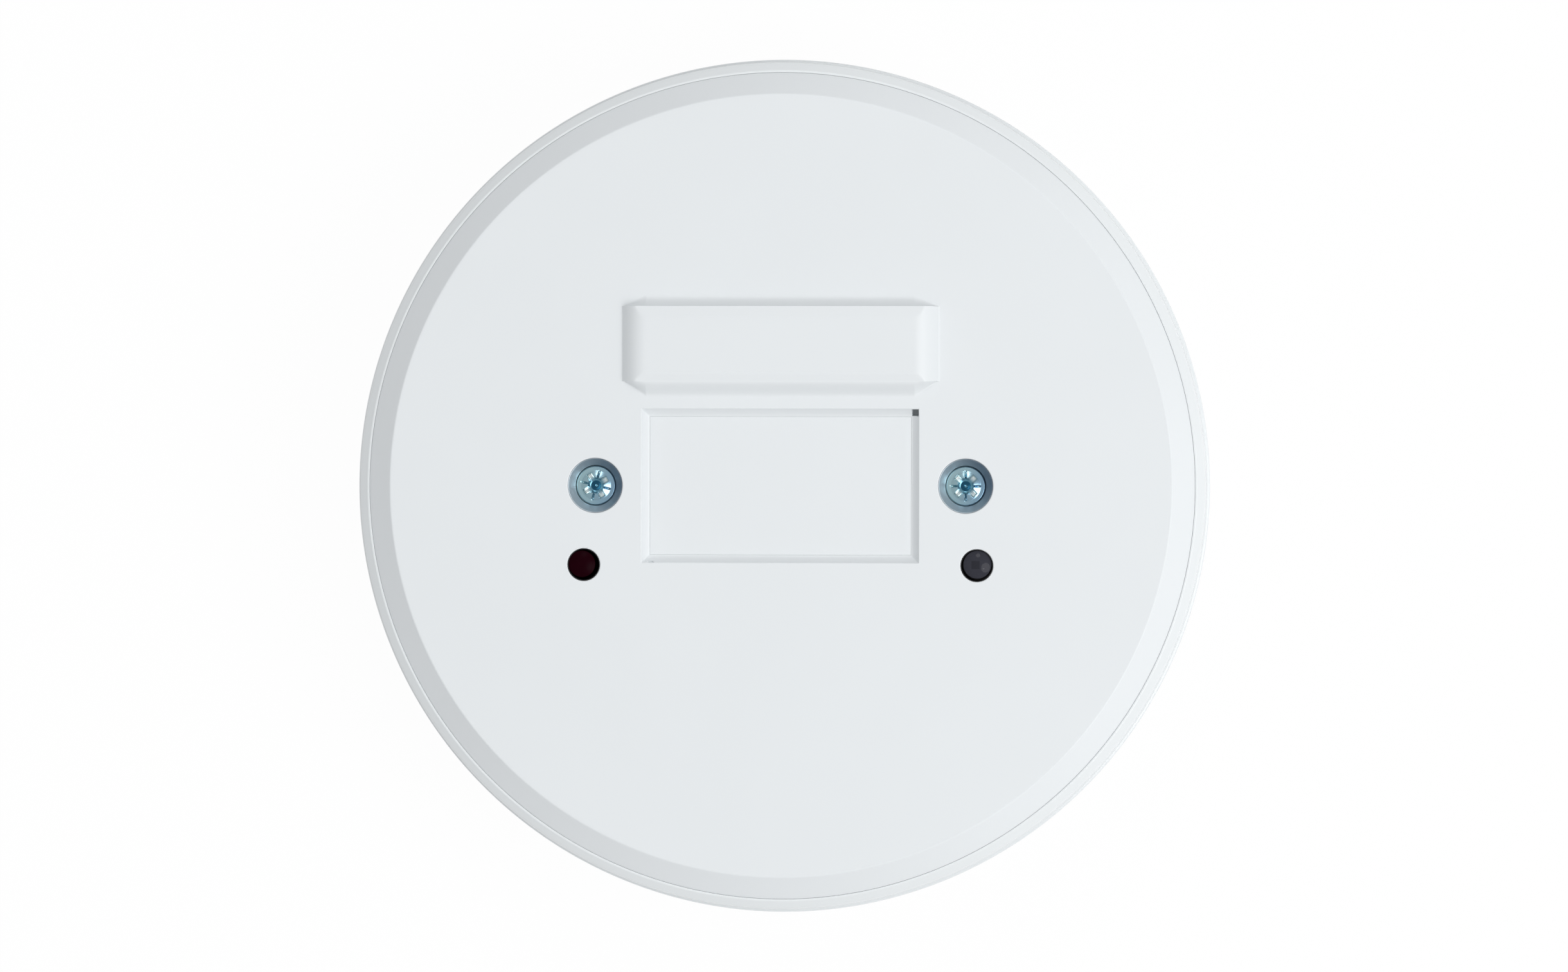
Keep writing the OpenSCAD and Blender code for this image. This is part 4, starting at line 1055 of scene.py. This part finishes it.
print(f"lens {camera_data.lens:.0f} mm, {CAMERA_DISTANCE} m from the face")


# %% Softboxes
LAMP_DISTANCE = 1.2


def softbox(name, towards, size, watts):
    """A round area lamp of a size in metres that stands towards a direction and faces the face."""
    lamp = bpy.data.lights.new(name, "AREA")
    lamp.shape, lamp.size, lamp.energy = "DISK", size, watts
    holder = bpy.data.objects.new(name, lamp)
    outwards = Vector(towards).normalized()
    holder.location = TARGET + outwards * LAMP_DISTANCE
    holder.rotation_euler = outwards.to_track_quat("Z", "Y").to_euler()
    scene.collection.objects.link(holder)


softbox("key", (0.56, -0.22, 0.8), 0.8, 5.6)
softbox("back", (0.05, 0.6, 0.8), 0.35, 1.1)
softbox("spark", (0.42, -0.30, 0.85), 0.08, 0.2)


# %% World
class World(Tree):
    """The nodes of the world, which end in a Background."""

    def __init__(self, name, **uniform):
        self.world = bpy.data.worlds.new(name)
        super().__init__(self.world, "Background", uniform)


WORLD_FILL, WORLD_RISE, RISE_FROM, LEAN_WAY = 0.63, 0.4, 0.6, (0.25, 0.0, 0.0)
studio = World("studio", Color=(0.985, 0.99, 1, 1))
scene.world = studio.world
way = studio.node("ShaderNodeTexCoord", out="Generated")
up = studio.node("ShaderNodeSeparateXYZ", values={"Vector": way}, out="Z")
lean = studio.node("ShaderNodeVectorMath", {"operation": "DOT_PRODUCT"}, {0: way, 1: LEAN_WAY},
                   out="Value")
fill = (lean * (1.0 - up) + (up - RISE_FROM) * WORLD_RISE + 1.0) * WORLD_FILL
seen, through = [studio.node("ShaderNodeLightPath", out=f"Is {ray} Ray")
                 for ray in ("Camera", "Transmission")]
shown = seen.max(through)
studio.feed(Strength=fill * (1.0 - shown) + shown)

# %% Floor
FLOOR_REACH, PAPER_WHITE, WHITE_SHARE = 3, 0.95, 0.96
square = [(FLOOR_REACH * x, FLOOR_REACH * y, 0) for x, y in ((-1, -1), (1, -1), (1, 1), (-1, 1))]
floor_mesh = bpy.data.meshes.new("floor")
floor_mesh.from_pydata(square, [], [(0, 1, 2, 3)])
floor = bpy.data.objects.new("floor", floor_mesh)
scene.collection.objects.link(floor)
paper = Shader("paper", Base_Color=(PAPER_WHITE, PAPER_WHITE, PAPER_WHITE, 1), Roughness=0.9)
white = paper.node("ShaderNodeEmission")
camera_share = paper.node("ShaderNodeLightPath", out="Is Camera Ray") * WHITE_SHARE
lit = Wire(paper, paper.surface.outputs["BSDF"])
seen_floor = paper.node("ShaderNodeMixShader", values={0: camera_share, 1: lit, 2: white})
paper.tree.links.new(seen_floor.socket, paper.tree.nodes["Material Output"].inputs["Surface"])
floor_mesh.materials.append(paper.material)
